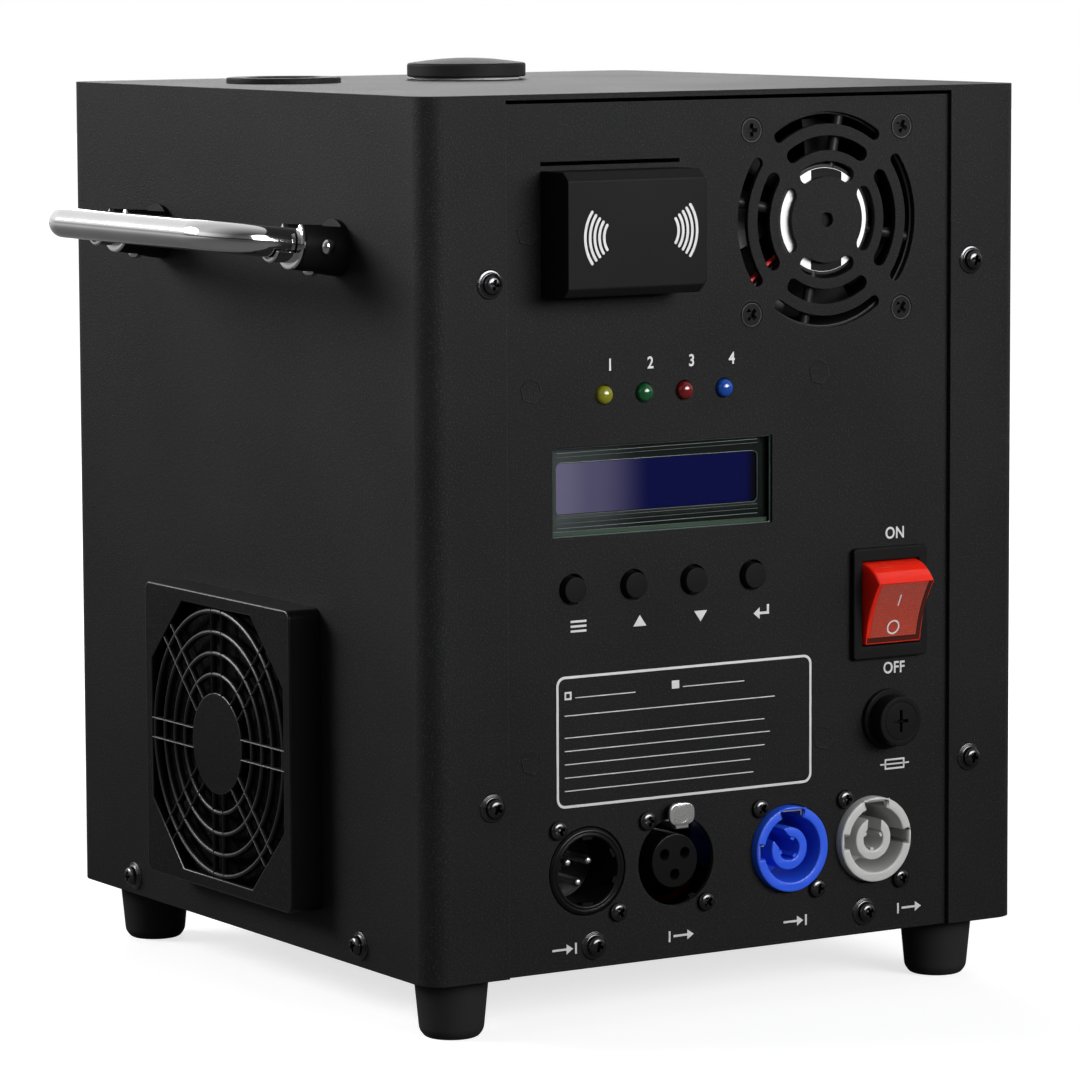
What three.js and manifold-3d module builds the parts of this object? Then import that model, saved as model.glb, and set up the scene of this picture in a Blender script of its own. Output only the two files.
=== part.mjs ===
// Cold spark machine: a black sheet-metal box that melts metal powder into cool sparks above its top.
// Millimetres, +Z up. The control panel faces -Y. The origin is under the middle of the whole, on the floor.
import * as THREE from 'three';
import { mergeVertices } from 'three/addons/utils/BufferGeometryUtils.js';
import Module from 'manifold-3d';

const wasm = await Module();
wasm.setup();

// Values that serve everywhere: overrun of every cut, reach of a joined form into its carrier,
// clearance between neighbours, and the distance within which vertices are one.
const OVER = 1;
const SINK = 0.5;
const GAP = 0.3;
const MERGE = 1e-4;

// Driving dimensions of the box. Heights below are measured from the underside of the box.
const BODY_W = 194;
const BODY_D = 203;
const BODY_H = 235.5;
const FOOT_H = 17;
const SHEET = 1.5;
const FOLD_R = 6.5;
const FOLD_GAP = 1;
const LEFT = -BODY_W / 2;
const RIGHT = BODY_W / 2;
const FRONT = -BODY_D / 2;
const REAR = BODY_D / 2;
const WALL_LEFT = LEFT + SHEET;
const WALL_RIGHT = RIGHT - SHEET;
const PANEL_FRONT = FRONT + SHEET;
const PANEL_BACK = PANEL_FRONT + SHEET;
const REAR_BACK = REAR - SHEET;
const REAR_FRONT = REAR_BACK - SHEET;
const ROOF = BODY_H - SHEET;
const FLANGE_W = { left: 25, right: 24.1, rear: 25 };
const FLANGE_EDGE_LEFT = LEFT + FLANGE_W.left;
const FLANGE_EDGE_RIGHT = RIGHT - FLANGE_W.right;
const REAR_FLANGE_EDGE = RIGHT - FLANGE_W.rear;
const PANEL_HALF_W = RIGHT - FOLD_R - FOLD_GAP;
const PANEL_ROOF_GAP = 1;
const PANEL_H = ROOF - PANEL_ROOF_GAP;

const FOOT_INSET = 16.5;
const FOOT_X = RIGHT - FOOT_INSET;
const FOOT_Y = REAR - FOOT_INSET;
const FOOT = { r: 10.2, taper: 1.5, edgeH: 2, edgeW: 1.6, recessR: 3, recessH: 6 };

// Carrying handles: a bent rod on pins between two cups on each side wall.
const HANDLE_DROP = 41.3;
const HANDLE_Z = BODY_H - HANDLE_DROP;
const HANDLE_Y = -5.3;
const HANDLE_PITCH = 100.4;
const HANDLE_ROD_R = 4.2;
const HANDLE_REACH = 29;
const HANDLE_BEND_R = 13;
const HANDLE_TILT = THREE.MathUtils.degToRad(6.5);
const HANDLE_TAIL = 1.6;
const CUP_LENGTH = 13.5;
const CUP_R = 7.7;
const CUP_MOUTH_R = 6.8;
const CUP_BORE_R = 5.6;
const CUP_FLOOR = 2.3;
const PIVOT_OFF = 7;
const PIN_R = 1.6;
const PIN_HOLE_R = 1.9;
const PIN_DOME = { r: 2.1, topR: 1.2, h: 1.2, sink: 0.1 };
const SLOT_HALF = 4.5;
const LINER_R = 5.3;
const LINER_BORE_R = 4.75;
const LINER_LIP = 6;
const LINER_RING_T = 1.3;
const LINER_CUP_GAP = 0.7;

// Square fans: outline, depth, rotor, duct, hole pitch, motor seat, struts, and what the blades need.
const SIDE_FAN = { size: 80, depth: 25, hub: 17, tip: 36.4, duct: 38, pitch: 71.5 };
const PANEL_FAN = { size: 60, depth: 20, hub: 14, tip: 27.4, duct: 28.8, pitch: 50 };
const FAN_SCREW_R = 2;
const FAN_SEAT_T = 3;
const FAN_SEAT_STEP = 1;
const FAN_SHAFT_R = 1.5;
const FAN_PITCH = THREE.MathUtils.degToRad(34);
const FAN_FRAME = { cornerR: 4, strutW: 3, strutT: 2, endT: 0.6 };
const FAN_ROTOR = { setBack: 2, edgeW: 1, edgeH: 1.5, run: 0.4, shaftEnd: 1, bladeT: 1.4, root: 2 };

// Side fan with its clip-on filter guard, on the left wall.
const SIDE_FAN_Y = -3;
const SIDE_FAN_Z = 53.9;
const SIDE_OPENING_R = 37;
const GUARD_SIZE = 83.3;
const GUARD_DEPTH = 10;
const GUARD_WALL = 1.6;
const GUARD_FACE = 1.8;
const GUARD_OPENING = 38;
const GUARD_CORNER = 19.9;
const GUARD_EDGE_R = 2.5;
const GUARD_INNER_R = 1.2;
const GUARD_RING_R = [37.1, 31.2, 25.3, 19.4];
const GUARD_RING_W = 1.4;
const GUARD_HUB_R = 14.3;
const GUARD_BAR_OFF = 2.8;
const GUARD_BAR_W = 1;
const GUARD_BASE_T = 2.5;
const GUARD_BASE_SIZE = 79;
const GUARD_BASE_R = 2;
const FILTER_SIZE = 78;
const FILTER_T = 3.5;

// Round chassis connectors of the common 24 mm hole size, in two pairs along the panel's foot.
const CONN_HOLE_R = 12.2;
const CONN_BARREL_R = 11.9;
const CONN_EDGE = 0.7;
const CONN_FLANGE_W = 26;
const CONN_FLANGE_H = 31;
const CONN_FLANGE_T = 1.6;
const CONN_FLOOR = 14;
const CONN_PROUD = 0.5;
const SIGNAL_PAIR_GAP = 2.6;
const POWER_PAIR_GAP = 2.4;

// What stands on the control panel, before its rows are laid out.
const LCD_SIZE = { w: 70.8, h: 24.1, rim: 2, glassDepth: 3.5, glassT: 1.8 };
const LCD_INSET = { left: 3.9, right: 2.2, below: 5.5, above: 4.3 };
const REMOTE_SIZE = { w: 44, h: 33, depth: 13.5, bevel: 2.4 };
const REMOTE_SLOT = { rise: 1.8, half: 0.5 };
const BEZEL_W = 25;
const BEZEL_H = 31;
const BEZEL_T = 2;
const BEZEL_EDGE_R = 1.2;

// Rows of the panel: heights as shares of the panel's height, and side margins as shares of the
// width that a row's pieces leave free between the cover's flanges.
const ROW_SHARES = {
  sockets: 0.114163,
  board: 0.223176,
  fuse: 0.257511,
  rocker: 0.398283,
  buttons: 0.443348,
  display: 0.554721,
  lamps: 0.665236,
  receiver: 0.85279,
};
const MARGIN_SHARES = {
  receiver: 0.2836,
  fan: 0.2665,
  display: 0.3055,
  rocker: 0.16293,
  signal: 0.3482,
  power: 0.3454,
};
const OPEN_W = FLANGE_EDGE_RIGHT - FLANGE_EDGE_LEFT;
const TOP_FREE = OPEN_W - REMOTE_SIZE.w - PANEL_FAN.size;
const MIDDLE_FREE = OPEN_W - LCD_SIZE.w - BEZEL_W;
const SOCKETS_FREE = OPEN_W - 4 * CONN_FLANGE_W - SIGNAL_PAIR_GAP - POWER_PAIR_GAP;

// Panel fan behind the arc-slot grille.
const PANEL_FAN_X = FLANGE_EDGE_RIGHT - TOP_FREE * MARGIN_SHARES.fan - PANEL_FAN.size / 2;
const PANEL_FAN_TOP_GAP = 3.6;
const PANEL_FAN_Z = PANEL_H - PANEL_FAN_TOP_GAP - PANEL_FAN.size / 2;
const GRILLE_ARCS = [[26.3, 29.5], [19, 23], [11.8, 16]];
const GRILLE_SWEEP = THREE.MathUtils.degToRad(38);
const GRILLE_HOLE_R = 2;

const REMOTE_X = FLANGE_EDGE_LEFT + TOP_FREE * MARGIN_SHARES.receiver;
const REMOTE_Z = PANEL_H * ROW_SHARES.receiver;
const REMOTE = {
  x0: REMOTE_X,
  x1: REMOTE_X + REMOTE_SIZE.w,
  z0: REMOTE_Z - REMOTE_SIZE.h / 2,
  z1: REMOTE_Z + REMOTE_SIZE.h / 2,
};
const REMOTE_FACE = PANEL_FRONT - REMOTE_SIZE.depth;

const LCD_X = FLANGE_EDGE_LEFT + MIDDLE_FREE * MARGIN_SHARES.display;
const LCD_Z = PANEL_H * ROW_SHARES.display;
const LCD = { x0: LCD_X, x1: LCD_X + LCD_SIZE.w, z0: LCD_Z - LCD_SIZE.h / 2, z1: LCD_Z + LCD_SIZE.h / 2 };
const LCD_VIEW = {
  x0: LCD.x0 + LCD_INSET.left,
  x1: LCD.x1 - LCD_INSET.right,
  z0: LCD.z0 + LCD_INSET.below,
  z1: LCD.z1 - LCD_INSET.above,
};

const LED_Z = PANEL_H * ROW_SHARES.lamps;
const LED_INSET = 16.2;
const LED_PITCH = 12.9;
const LED_X = [0, 1, 2, 3].map((k) => LCD.x0 + LED_INSET + k * LED_PITCH);
const LED = {
  r: 2.5,
  hole: 0.2,
  proud: 2.2,
  tipH: 0.4,
  shoulderH: 1.25,
  domeH: 2.5,
  collarW: 0.5,
  collarT: 1,
};
const LENS_SHARES = { tip: 0.5, shoulder: 0.87 };

const BUTTON_Z = PANEL_H * ROW_SHARES.buttons;
const BUTTON_INSET = 6.1;
const BUTTON_PITCH = 19.37;
const BUTTON_X = [0, 1, 2, 3].map((k) => LCD.x0 + BUTTON_INSET + k * BUTTON_PITCH);
const BUTTON_R = 3.5;
const BUTTON_HOLE_R = 4.2;
const BUTTON_PROUD = 2;
const BUTTON = { crown: 0.1, edge: 0.8, flangeW: 1, flangeT: 1.2, stemR: 2, stemEnd: 4 };

const ROCKER_X = FLANGE_EDGE_RIGHT - MIDDLE_FREE * MARGIN_SHARES.rocker - BEZEL_W / 2;
const ROCKER_Z = PANEL_H * ROW_SHARES.rocker;
const BEZEL_BODY_W = 22;
const BEZEL_BODY_H = 27.4;
const BEZEL_BODY_D = 22;
const BEZEL_BACK_T = 3;
const BLADE = { pitch: 6, w: 6.4, t: 0.8, length: 8 };
const ROCKER_W = 18.5;
const ROCKER_WELL_W = 19.2;
const ROCKER_WELL_H = 23.6;
const ROCKER_FACE = 6.7;
const ROCKER_HALF = 9.4;
const ROCKER_DISH = 1.1;
const ROCKER_PIN_R = 1.3;
const ROCKER_PIN_OUT = 1.1;
const ROCKER_TILT = THREE.MathUtils.degToRad(21);
const ROCKER_HEEL = THREE.MathUtils.degToRad(25);

const FUSE_X = ROCKER_X;
const FUSE_Z = PANEL_H * ROW_SHARES.fuse;
const FUSE_FLANGE_R = 8.4;
const FUSE_FLANGE_T = 1.6;
const FUSE_BODY_R = 6.2;
const FUSE_CAP_R = 7;
const FUSE_CAP_H = 5.4;
const FUSE_CAP_EDGE = 0.8;
const FUSE_BORE_R = 4.3;
const FUSE_STEM_R = 3.9;
const FUSE_BODY = { length: 32, bore: 27, stem: 24, nutW: 2.6, nutT: 3 };
const FUSE_SLOT = { long: 4.6, half: 0.8, depth: 1.8 };

const CONN_Z = PANEL_H * ROW_SHARES.sockets;
const CONN_HALF = CONN_FLANGE_W / 2;
const XLR_MALE_X = FLANGE_EDGE_LEFT + SOCKETS_FREE * MARGIN_SHARES.signal + CONN_HALF;
const XLR_FEMALE_X = XLR_MALE_X + CONN_FLANGE_W + SIGNAL_PAIR_GAP;
const OUTLET_X = FLANGE_EDGE_RIGHT - SOCKETS_FREE * MARGIN_SHARES.power - CONN_HALF;
const INLET_X = OUTLET_X - CONN_FLANGE_W - POWER_PAIR_GAP;
const XLR_PIN_CIRCLE = 3.8;
const XLR_PIN_RECESS = 4.4;
const XLR_PIN_ANGLES = [Math.PI / 6, (5 * Math.PI) / 6, -Math.PI / 2];
const XLR_PIN = { r: 1.2, tipR: 0.8 };
const XLR_MALE = { boreR: 9.4, back: 10 };
const XLR_FEMALE = { boreR: 9.8, back: 12, insertR: 7.4, insertDepth: 0.6, holeR: 1.35, holeDepth: 9 };
const XLR_CHANNEL = { half: 2.6, low: 9, high: 12.5, endGap: 1 };
const LATCH = {
  w: 8.2,
  h: 6.4,
  edgeR: 2.8,
  rise: 13.3,
  proud: 3.2,
  t: 1.2,
  half: 2.1,
  low: 9.4,
  tongueH: 1.5,
  reach: 11,
};
const POWER = { proud: 2.4, boreR: 9.2, floor: 13, back: 18, keyReach: 4, keyMid: 9, keyStop: 1 };
const POWER_CORE = { r: 5.9, boreR: 3.3, setBack: 1.6, gapW: 4.4, gapOff: 1 };
const KEY_W = { top: 6.4, left: 3.8, right: 3.6 };

// Control board between display and rocker, on the studs in the panel.
const BOARD_DEPTH = 10;
const BOARD_FRONT = PANEL_BACK + BOARD_DEPTH;
const BOARD_MARGIN = { left: 10.7, fan: 8.4, rocker: 7.1 };
const BOARD = {
  x0: LCD.x0 - BOARD_MARGIN.left,
  x1: ROCKER_X - BEZEL_BODY_W / 2 - BOARD_MARGIN.rocker,
  z0: PANEL_H * ROW_SHARES.board,
  z1: PANEL_FAN_Z - PANEL_FAN.size / 2 - BOARD_MARGIN.fan,
};
const BOARD_T = 1.6;
const BOARD_SWITCH = { half: 3, h: 3 };
const BOARD_CHIP = { in: 27.7, up: 18, w: 30, h: 14, t: 3 };
const BOARD_PLUG = { in: 28.3, up: 14, w: 24, h: 7, t: 8 };
const STUD_R = 2.6;
const STUD_INSET = { left: 3.7, topRight: 4.5, bottomRight: 3.9, top: 3.6, bottomLeft: 5.5, bottomRise: 4.4 };
const STUDS = [
  [BOARD.x0 + STUD_INSET.left, BOARD.z1 - STUD_INSET.top],
  [BOARD.x1 - STUD_INSET.topRight, BOARD.z1 - STUD_INSET.top],
  [BOARD.x0 + STUD_INSET.left, BOARD.z0 + STUD_INSET.bottomLeft],
  [BOARD.x1 - STUD_INSET.bottomRight, BOARD.z0 + STUD_INSET.bottomRise],
];

// The tray's lip stays under the connectors' flanges.
const TRAY_LIP_GAP = 0.6;
const TRAY_LIP_H = CONN_Z - CONN_FLANGE_H / 2 - TRAY_LIP_GAP;

// The spark head: nozzle, heater, blower, powder feed and hopper. Its places along X are shares of
// half the box's width.
const HEAD_SHARES = { nozzle: -0.574227, hopper: 0.059794 };
const HEAD_REAR = 55;
const HEAD_Y = REAR - HEAD_REAR;
const NOZZLE_X = RIGHT * HEAD_SHARES.nozzle;
const HOPPER_X = RIGHT * HEAD_SHARES.hopper;
const NOZZLE_FLANGE_R = 16.5;
const NOZZLE_FLANGE_T = 1.6;
const NOZZLE_EDGE = 0.3;
const NOZZLE_R = 12.5;
const NOZZLE_BORE_R = 10.4;
const NOZZLE_GAP = 0.4;
const SHELF_FAN_GAP = 2.1;
const SHELF_Z = SIDE_FAN_Z + SIDE_FAN.size / 2 + SHELF_FAN_GAP;
const BLOWER_SIZE = 50;
const BLOWER_DEPTH = 20;
const BLOWER_OFF = 6;
const BLOWER_X = NOZZLE_X - BLOWER_OFF;
const BLOWER_WALL = 1.8;
const BLOWER = {
  drop: 2,
  eyeR: 12,
  plinthT: 1.5,
  scroll: 2,
  shoulderX: 4,
  cornerX: 8,
  cornerZ: 8,
  mouthX: 2,
};
const WHEEL_R = 17.5;
const WHEEL_SHAFT_R = 1.5;
const WHEEL = { hubR: 6, discT: 1.2, rearGap: 0.4, frontGap: 0.8, vane: 6, vaneT: 0.9, vaneIn: 3.5 };
const WHEEL_VANES = 12;
const WHEEL_SLANT = THREE.MathUtils.degToRad(28.6);
const BLOWER_BASE = SHELF_Z + SHEET;
const HEATER_BASE = BLOWER_BASE + BLOWER_SIZE;
const HEATER_ROOF_GAP = 26.5;
const HEATER_TOP = ROOF - HEATER_ROOF_GAP;
const HEATER_HALF = 20;
const HEATER_BORE_R = 11;
const JACKET_R = 29.5;
const JACKET_END = 4;
const JACKET_GAP = 0.4;
const FEED_SHARE = 0.475;
const FEED_Z = HEATER_BASE + (HEATER_TOP - HEATER_BASE) * FEED_SHARE;
const FEED_TUBE_R = 11;
const FEED_BORE_R = 9;
const FEED_SADDLE_H = 15;
const FEED_SADDLE_HALF = 11;
const FEED_REACH = 28.2;
const FEED_END_X = HOPPER_X + FEED_REACH;
const UPRIGHT = { t: 2, half: 20, rise: 20, holeGap: 1.7 };
const AUGER_R = 8.3;
const AUGER_SHAFT_R = 2.8;
const AUGER_PITCH = 14;
const AUGER_TURNS = 3.5;
const AUGER = { start: 4, end: 7, flightStart: 2, flightT: 1.6, root: 1 };
const AUGER_STEPS = 12;
const MOTOR = { gearR: 17, gearL: 22, canR: 14, capR: 6, capL: 3, wallGap: 8.5, bore: 6, boreGap: 0.5 };
const FEED_PORT_R = 7;
const NECK_R = 14.5;
const NECK_BORE_R = 12.4;
const HOPPER_BELLY_R = 29;
const HOPPER_WALL = 2;
const HOPPER_SHARES = { cone: 0.488, shoulder: 0.698, neck: 0.884 };
const HOPPER_SPOUT = { w: 2, taper: 1, h: 4, floorT: 5, step: 1 };
const COLLAR_R = 15.6;
const COLLAR_T = 0.9;
const CAP_R = 17.7;
const CAP_RIM = 3.6;
const CAP_DOME = 1.7;
const CAP_EDGE = { foot: 0.4, top: 0.6 };
const CAP_SHARES = { outer: 0.66, inner: 0.33, outerRise: 0.6, innerRise: 0.92 };
const CAP_PLUG_R = 11.9;
const CAP_PLUG_H = 4;

// Bracket that carries the head: its shelf reaches past the blower and stops short of the right wall.
const SHELF = { blowerGap: 1.3, wallGap: 15.5, headFront: 31.5, rearGap: 6.5, fanGap: 7, legIn: 29.5 };
const SHELF_X0 = BLOWER_X - BLOWER_SIZE / 2 - SHELF.blowerGap;
const SHELF_X1 = WALL_RIGHT - SHELF.wallGap;
const SHELF_Y0 = HEAD_Y - SHELF.headFront;
const SHELF_Y1 = REAR_FRONT - SHELF.rearGap;
const LEFT_LEG_X = WALL_LEFT + SHELF.legIn;
const LEFT_LEG_Y0 = SIDE_FAN_Y + SIDE_FAN.size / 2 + SHELF.fanGap;

// Supply and main board on the tray share its run between the panel's fittings and the rear plate.
const RUN = { panelGap: 46, rearGap: 8.5 };
const RUN_Y0 = PANEL_FRONT + RUN.panelGap;
const RUN_Y1 = REAR_FRONT - RUN.rearGap;
const RUN_SHARES = { mainBoard: 0.347222, supply: 0.527778 };
const SUPPLY_SIZE = { top: 38, legGapLeft: 28.5, legGapRight: 4.5, frontGap: 1 };
const SUPPLY = {
  x0: LEFT_LEG_X + SHEET + SUPPLY_SIZE.legGapLeft,
  x1: SHELF_X1 - SHEET - SUPPLY_SIZE.legGapRight,
  y0: RUN_Y1 - (RUN_Y1 - RUN_Y0) * RUN_SHARES.supply,
  y1: RUN_Y1,
};
const SUPPLY_SLOTS = { count: 7, w: 6, endGap: 13, sideGap: 14, depth: 3 };
const TERMINALS = { inLeft: 8, inRight: 32, depth: 9, rise: 6, h: 14 };
const MAIN_BOARD_SIZE = { fanGap: 40.5, wallGap: 10, z: 9.5, t: 1.6, postR: 2.6, postIn: 5 };
const MAIN_BOARD = {
  x0: WALL_LEFT + SIDE_FAN.depth + MAIN_BOARD_SIZE.fanGap,
  x1: WALL_RIGHT - SHEET - MAIN_BOARD_SIZE.wallGap,
  y0: RUN_Y0,
  y1: RUN_Y0 + (RUN_Y1 - RUN_Y0) * RUN_SHARES.mainBoard,
};
const CAPACITOR = { r: 5, h: 20 };
const CAPACITOR_SHARES = [[0.1404, 0.72], [0.2632, 0.72], [0.386, 0.72]];
const BLOCK_SHARES = [
  [0.4386, 0.614, 0.2, 0.52],
  [0.6667, 0.9123, 0.56, 0.84],
  [0.0877, 0.3509, 0.12, 0.36],
];
const BLOCK_H = [15, 22, 9];

// Cooling slots of the rear plate, in two banks at a share of the plate's half width.
const REAR_BANK = { rows: 6, pitch: 9, w: 44, h: 3.5, z: 36 };
const REAR_BANK_SHARE = 0.357542;

const SHIFT_Y = -(REMOTE_FACE + REAR) / 2;

// Fineness of round forms: sag of a facet, and the fewest and most sides.
const FACET_SAG = 0.28;
const MIN_SIDES = 8;
const MAX_SIDES = 20;

const NONE = new THREE.Vector3();

// A closed three.js geometry as a manifold-3d solid.
function solid(geometry) {
  const bare = geometry.index ? geometry.toNonIndexed() : geometry.clone();
  bare.deleteAttribute('normal');
  bare.deleteAttribute('uv');
  const merged = mergeVertices(bare, MERGE);
  const mesh = new wasm.Mesh({
    numProp: 3,
    vertProperties: new Float32Array(merged.attributes.position.array),
    triVerts: new Uint32Array(merged.index.array),
  });
  mesh.merge();
  const body = new wasm.Manifold(mesh);
  if (body.volume() <= 0) throw new Error('a closed form is inside out');
  return body;
}

// A manifold-3d solid as a three.js geometry with flat faces.
function geometryOf(body) {
  const mesh = body.getMesh();
  const geometry = new THREE.BufferGeometry();
  geometry.setAttribute('position', new THREE.BufferAttribute(new Float32Array(mesh.vertProperties), 3));
  geometry.setIndex(new THREE.BufferAttribute(new Uint32Array(mesh.triVerts), 1));
  const flat = geometry.toNonIndexed();
  flat.computeVertexNormals();
  return flat;
}

function join(...bodies) {
  return bodies.reduce((all, body) => all.add(body));
}

function cut(body, ...tools) {
  return tools.reduce((rest, tool) => rest.subtract(tool), body);
}

function box(x0, x1, y0, y1, z0, z1) {
  const geometry = new THREE.BoxGeometry(x1 - x0, y1 - y0, z1 - z0);
  geometry.translate((x0 + x1) / 2, (y0 + y1) / 2, (z0 + z1) / 2);
  return solid(geometry);
}

// Turns a geometry drawn along Z to lie along another axis, and moves it there.
function along(geometry, axis, centre = NONE) {
  if (axis === 'x') geometry.rotateX(Math.PI / 2).rotateZ(Math.PI / 2);
  if (axis === 'y') geometry.rotateX(-Math.PI / 2);
  return geometry.translate(centre.x, centre.y, centre.z);
}

// Sides of a round form, from the sag that its facets may have.
function sidesOf(r) {
  const wanted = Math.PI / Math.acos(1 - FACET_SAG / r);
  return 2 * Math.round(THREE.MathUtils.clamp(wanted, MIN_SIDES, MAX_SIDES) / 2);
}

// A round bar from a to b along an axis; its radius may change from one end to the other.
function bar(axis, r0, r1, a, b, centre) {
  const geometry = new THREE.CylinderGeometry(r1, r0, b - a, sidesOf(Math.max(r0, r1)));
  geometry.rotateX(Math.PI / 2).translate(0, 0, (a + b) / 2);
  return solid(along(geometry, axis, centre));
}

function rod(axis, r, a, b, centre) {
  return bar(axis, r, r, a, b, centre);
}

// A turned piece: closed profile of [radius, height along the axis].
function turned(axis, profile, centre) {
  const widest = Math.max(...profile.map(([r]) => r));
  const points = [...profile, profile[0]].map(([r, h]) => new THREE.Vector2(r, h));
  if (THREE.ShapeUtils.isClockWise(points)) points.reverse();
  const geometry = new THREE.LatheGeometry(points, sidesOf(widest)).rotateX(Math.PI / 2);
  return solid(along(geometry, axis, centre));
}

function roundedRect(w, h, r, cx = 0, cy = 0) {
  const shape = new THREE.Shape();
  const [x, y] = [w / 2 - r, h / 2 - r];
  shape.absarc(cx + x, cy + y, r, 0, Math.PI / 2);
  shape.absarc(cx - x, cy + y, r, Math.PI / 2, Math.PI);
  shape.absarc(cx - x, cy - y, r, Math.PI, 1.5 * Math.PI);
  shape.absarc(cx + x, cy - y, r, 1.5 * Math.PI, 2 * Math.PI);
  return shape;
}

function polygon(points) {
  return new THREE.Shape(points.map(([x, y]) => new THREE.Vector2(x, y)));
}

// A flat shape pushed along an axis from a to b. Seen from outside, the shape's x and y are the
// part's X and Y (axis z), X and Z (axis y) or Y and Z (axis x).
function pushed(axis, shape, a, b, segments = 5) {
  const options = { depth: b - a, bevelEnabled: false, curveSegments: segments };
  const geometry = new THREE.ExtrudeGeometry(shape, options);
  if (axis === 'z') geometry.translate(0, 0, a);
  if (axis === 'y') geometry.rotateX(Math.PI / 2).translate(0, b, 0);
  if (axis === 'x') geometry.rotateX(Math.PI / 2).rotateZ(Math.PI / 2).translate(a, 0, 0);
  return solid(geometry);
}

const paints = {
  powderCoat: { color: 0x1d1d1e, roughness: 0.62, metalness: 0.2 },
  plastic: { color: 0x161617, roughness: 0.45, metalness: 0 },
  rubber: { color: 0x141414, roughness: 0.85, metalness: 0 },
  chrome: { color: 0xc9cbcd, roughness: 0.12, metalness: 1 },
  steel: { color: 0x9a9c9f, roughness: 0.35, metalness: 1 },
  aluminium: { color: 0xb4b6b9, roughness: 0.4, metalness: 1 },
  foam: { color: 0x0c0c0c, roughness: 1, metalness: 0 },
  fanPlastic: { color: 0x111112, roughness: 0.5, metalness: 0 },
  board: { color: 0x1f5a35, roughness: 0.5, metalness: 0 },
  wrap: { color: 0xd8d2c4, roughness: 0.95, metalness: 0 },
  screen: { color: 0x2b3f8f, roughness: 0.15, metalness: 0 },
  redLens: { color: 0xd02a1a, roughness: 0.3, metalness: 0 },
  yellowLens: { color: 0xe0b400, roughness: 0.25, metalness: 0 },
  greenLens: { color: 0x2fae4a, roughness: 0.25, metalness: 0 },
  blueLens: { color: 0x2c56c8, roughness: 0.25, metalness: 0 },
  inletBlue: { color: 0x2b4fd0, roughness: 0.4, metalness: 0 },
  outletGrey: { color: 0xc9c9c9, roughness: 0.45, metalness: 0 },
};

const machine = new THREE.Group();
machine.position.set(0, SHIFT_Y, FOOT_H);

function add(name, body, paint, parent = machine) {
  const mesh = new THREE.Mesh(geometryOf(body), new THREE.MeshStandardMaterial(paints[paint]));
  mesh.name = name;
  parent.add(mesh);
  return mesh;
}

// Folded cover: roof, both sides, and a flange down each side of the front and of the back.
function coverShell() {
  const outer = pushed('z', roundedRect(BODY_W, BODY_D, FOLD_R), 0, BODY_H, 3);
  const hollow = roundedRect(BODY_W - 2 * SHEET, BODY_D - 2 * SHEET, FOLD_R - SHEET);
  const inner = pushed('z', hollow, -OVER, ROOF, 3);
  const front = box(FLANGE_EDGE_LEFT, FLANGE_EDGE_RIGHT, FRONT - OVER, PANEL_FRONT + OVER, -OVER, ROOF);
  const rear = box(-REAR_FLANGE_EDGE, REAR_FLANGE_EDGE, REAR_BACK - OVER, REAR + OVER, -OVER, ROOF);
  const roofHole = (x, r) => rod('z', r, ROOF - OVER, BODY_H + OVER, new THREE.Vector3(x, HEAD_Y, 0));
  const fanCentre = new THREE.Vector3(0, SIDE_FAN_Y, SIDE_FAN_Z);
  const fanHole = rod('x', SIDE_OPENING_R, LEFT - OVER, WALL_LEFT + OVER, fanCentre);
  const nozzleHole = roofHole(NOZZLE_X, NOZZLE_R + NOZZLE_GAP);
  const neckHole = roofHole(HOPPER_X, NECK_R + GAP);
  return cut(outer, inner, front, rear, nozzleHole, neckHole, fanHole);
}

// Tray: floor with an upturned lip on all four sides. Its corners stand clear of the cover's folds.
function baseTray() {
  const sideRun = REAR - FOLD_R - FOLD_GAP;
  const floor = join(
    box(WALL_LEFT, WALL_RIGHT, -sideRun, sideRun, 0, SHEET),
    box(-PANEL_HALF_W, PANEL_HALF_W, PANEL_BACK, REAR_FRONT, 0, SHEET),
  );
  const lips = [
    box(-PANEL_HALF_W, PANEL_HALF_W, PANEL_BACK, PANEL_BACK + SHEET, 0, TRAY_LIP_H),
    box(-PANEL_HALF_W, PANEL_HALF_W, REAR_FRONT - SHEET, REAR_FRONT, 0, TRAY_LIP_H),
    box(WALL_LEFT, WALL_LEFT + SHEET, -sideRun, sideRun, 0, TRAY_LIP_H),
    box(WALL_RIGHT - SHEET, WALL_RIGHT, -sideRun, sideRun, 0, TRAY_LIP_H),
  ];
  return join(floor, ...lips);
}

function rectPath(x0, x1, z0, z1) {
  return new THREE.Path([[x0, z0], [x0, z1], [x1, z1], [x1, z0]].map(([x, z]) => new THREE.Vector2(x, z)));
}

// One curved slot with round ends, centred on an angle.
function arcSlot(cx, cz, rIn, rOut, angle) {
  const endR = (rOut - rIn) / 2;
  const mid = (rOut + rIn) / 2;
  const half = GRILLE_SWEEP - endR / mid;
  const [a0, a1] = [angle - half, angle + half];
  const path = new THREE.Path();
  path.absarc(cx, cz, rOut, a0, a1, false);
  path.absarc(cx + mid * Math.cos(a1), cz + mid * Math.sin(a1), endR, a1, a1 + Math.PI, false);
  path.absarc(cx, cz, rIn, a1, a0, true);
  path.absarc(cx + mid * Math.cos(a0), cz + mid * Math.sin(a0), endR, a0 + Math.PI, a0 + 2 * Math.PI, false);
  return path;
}

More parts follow.
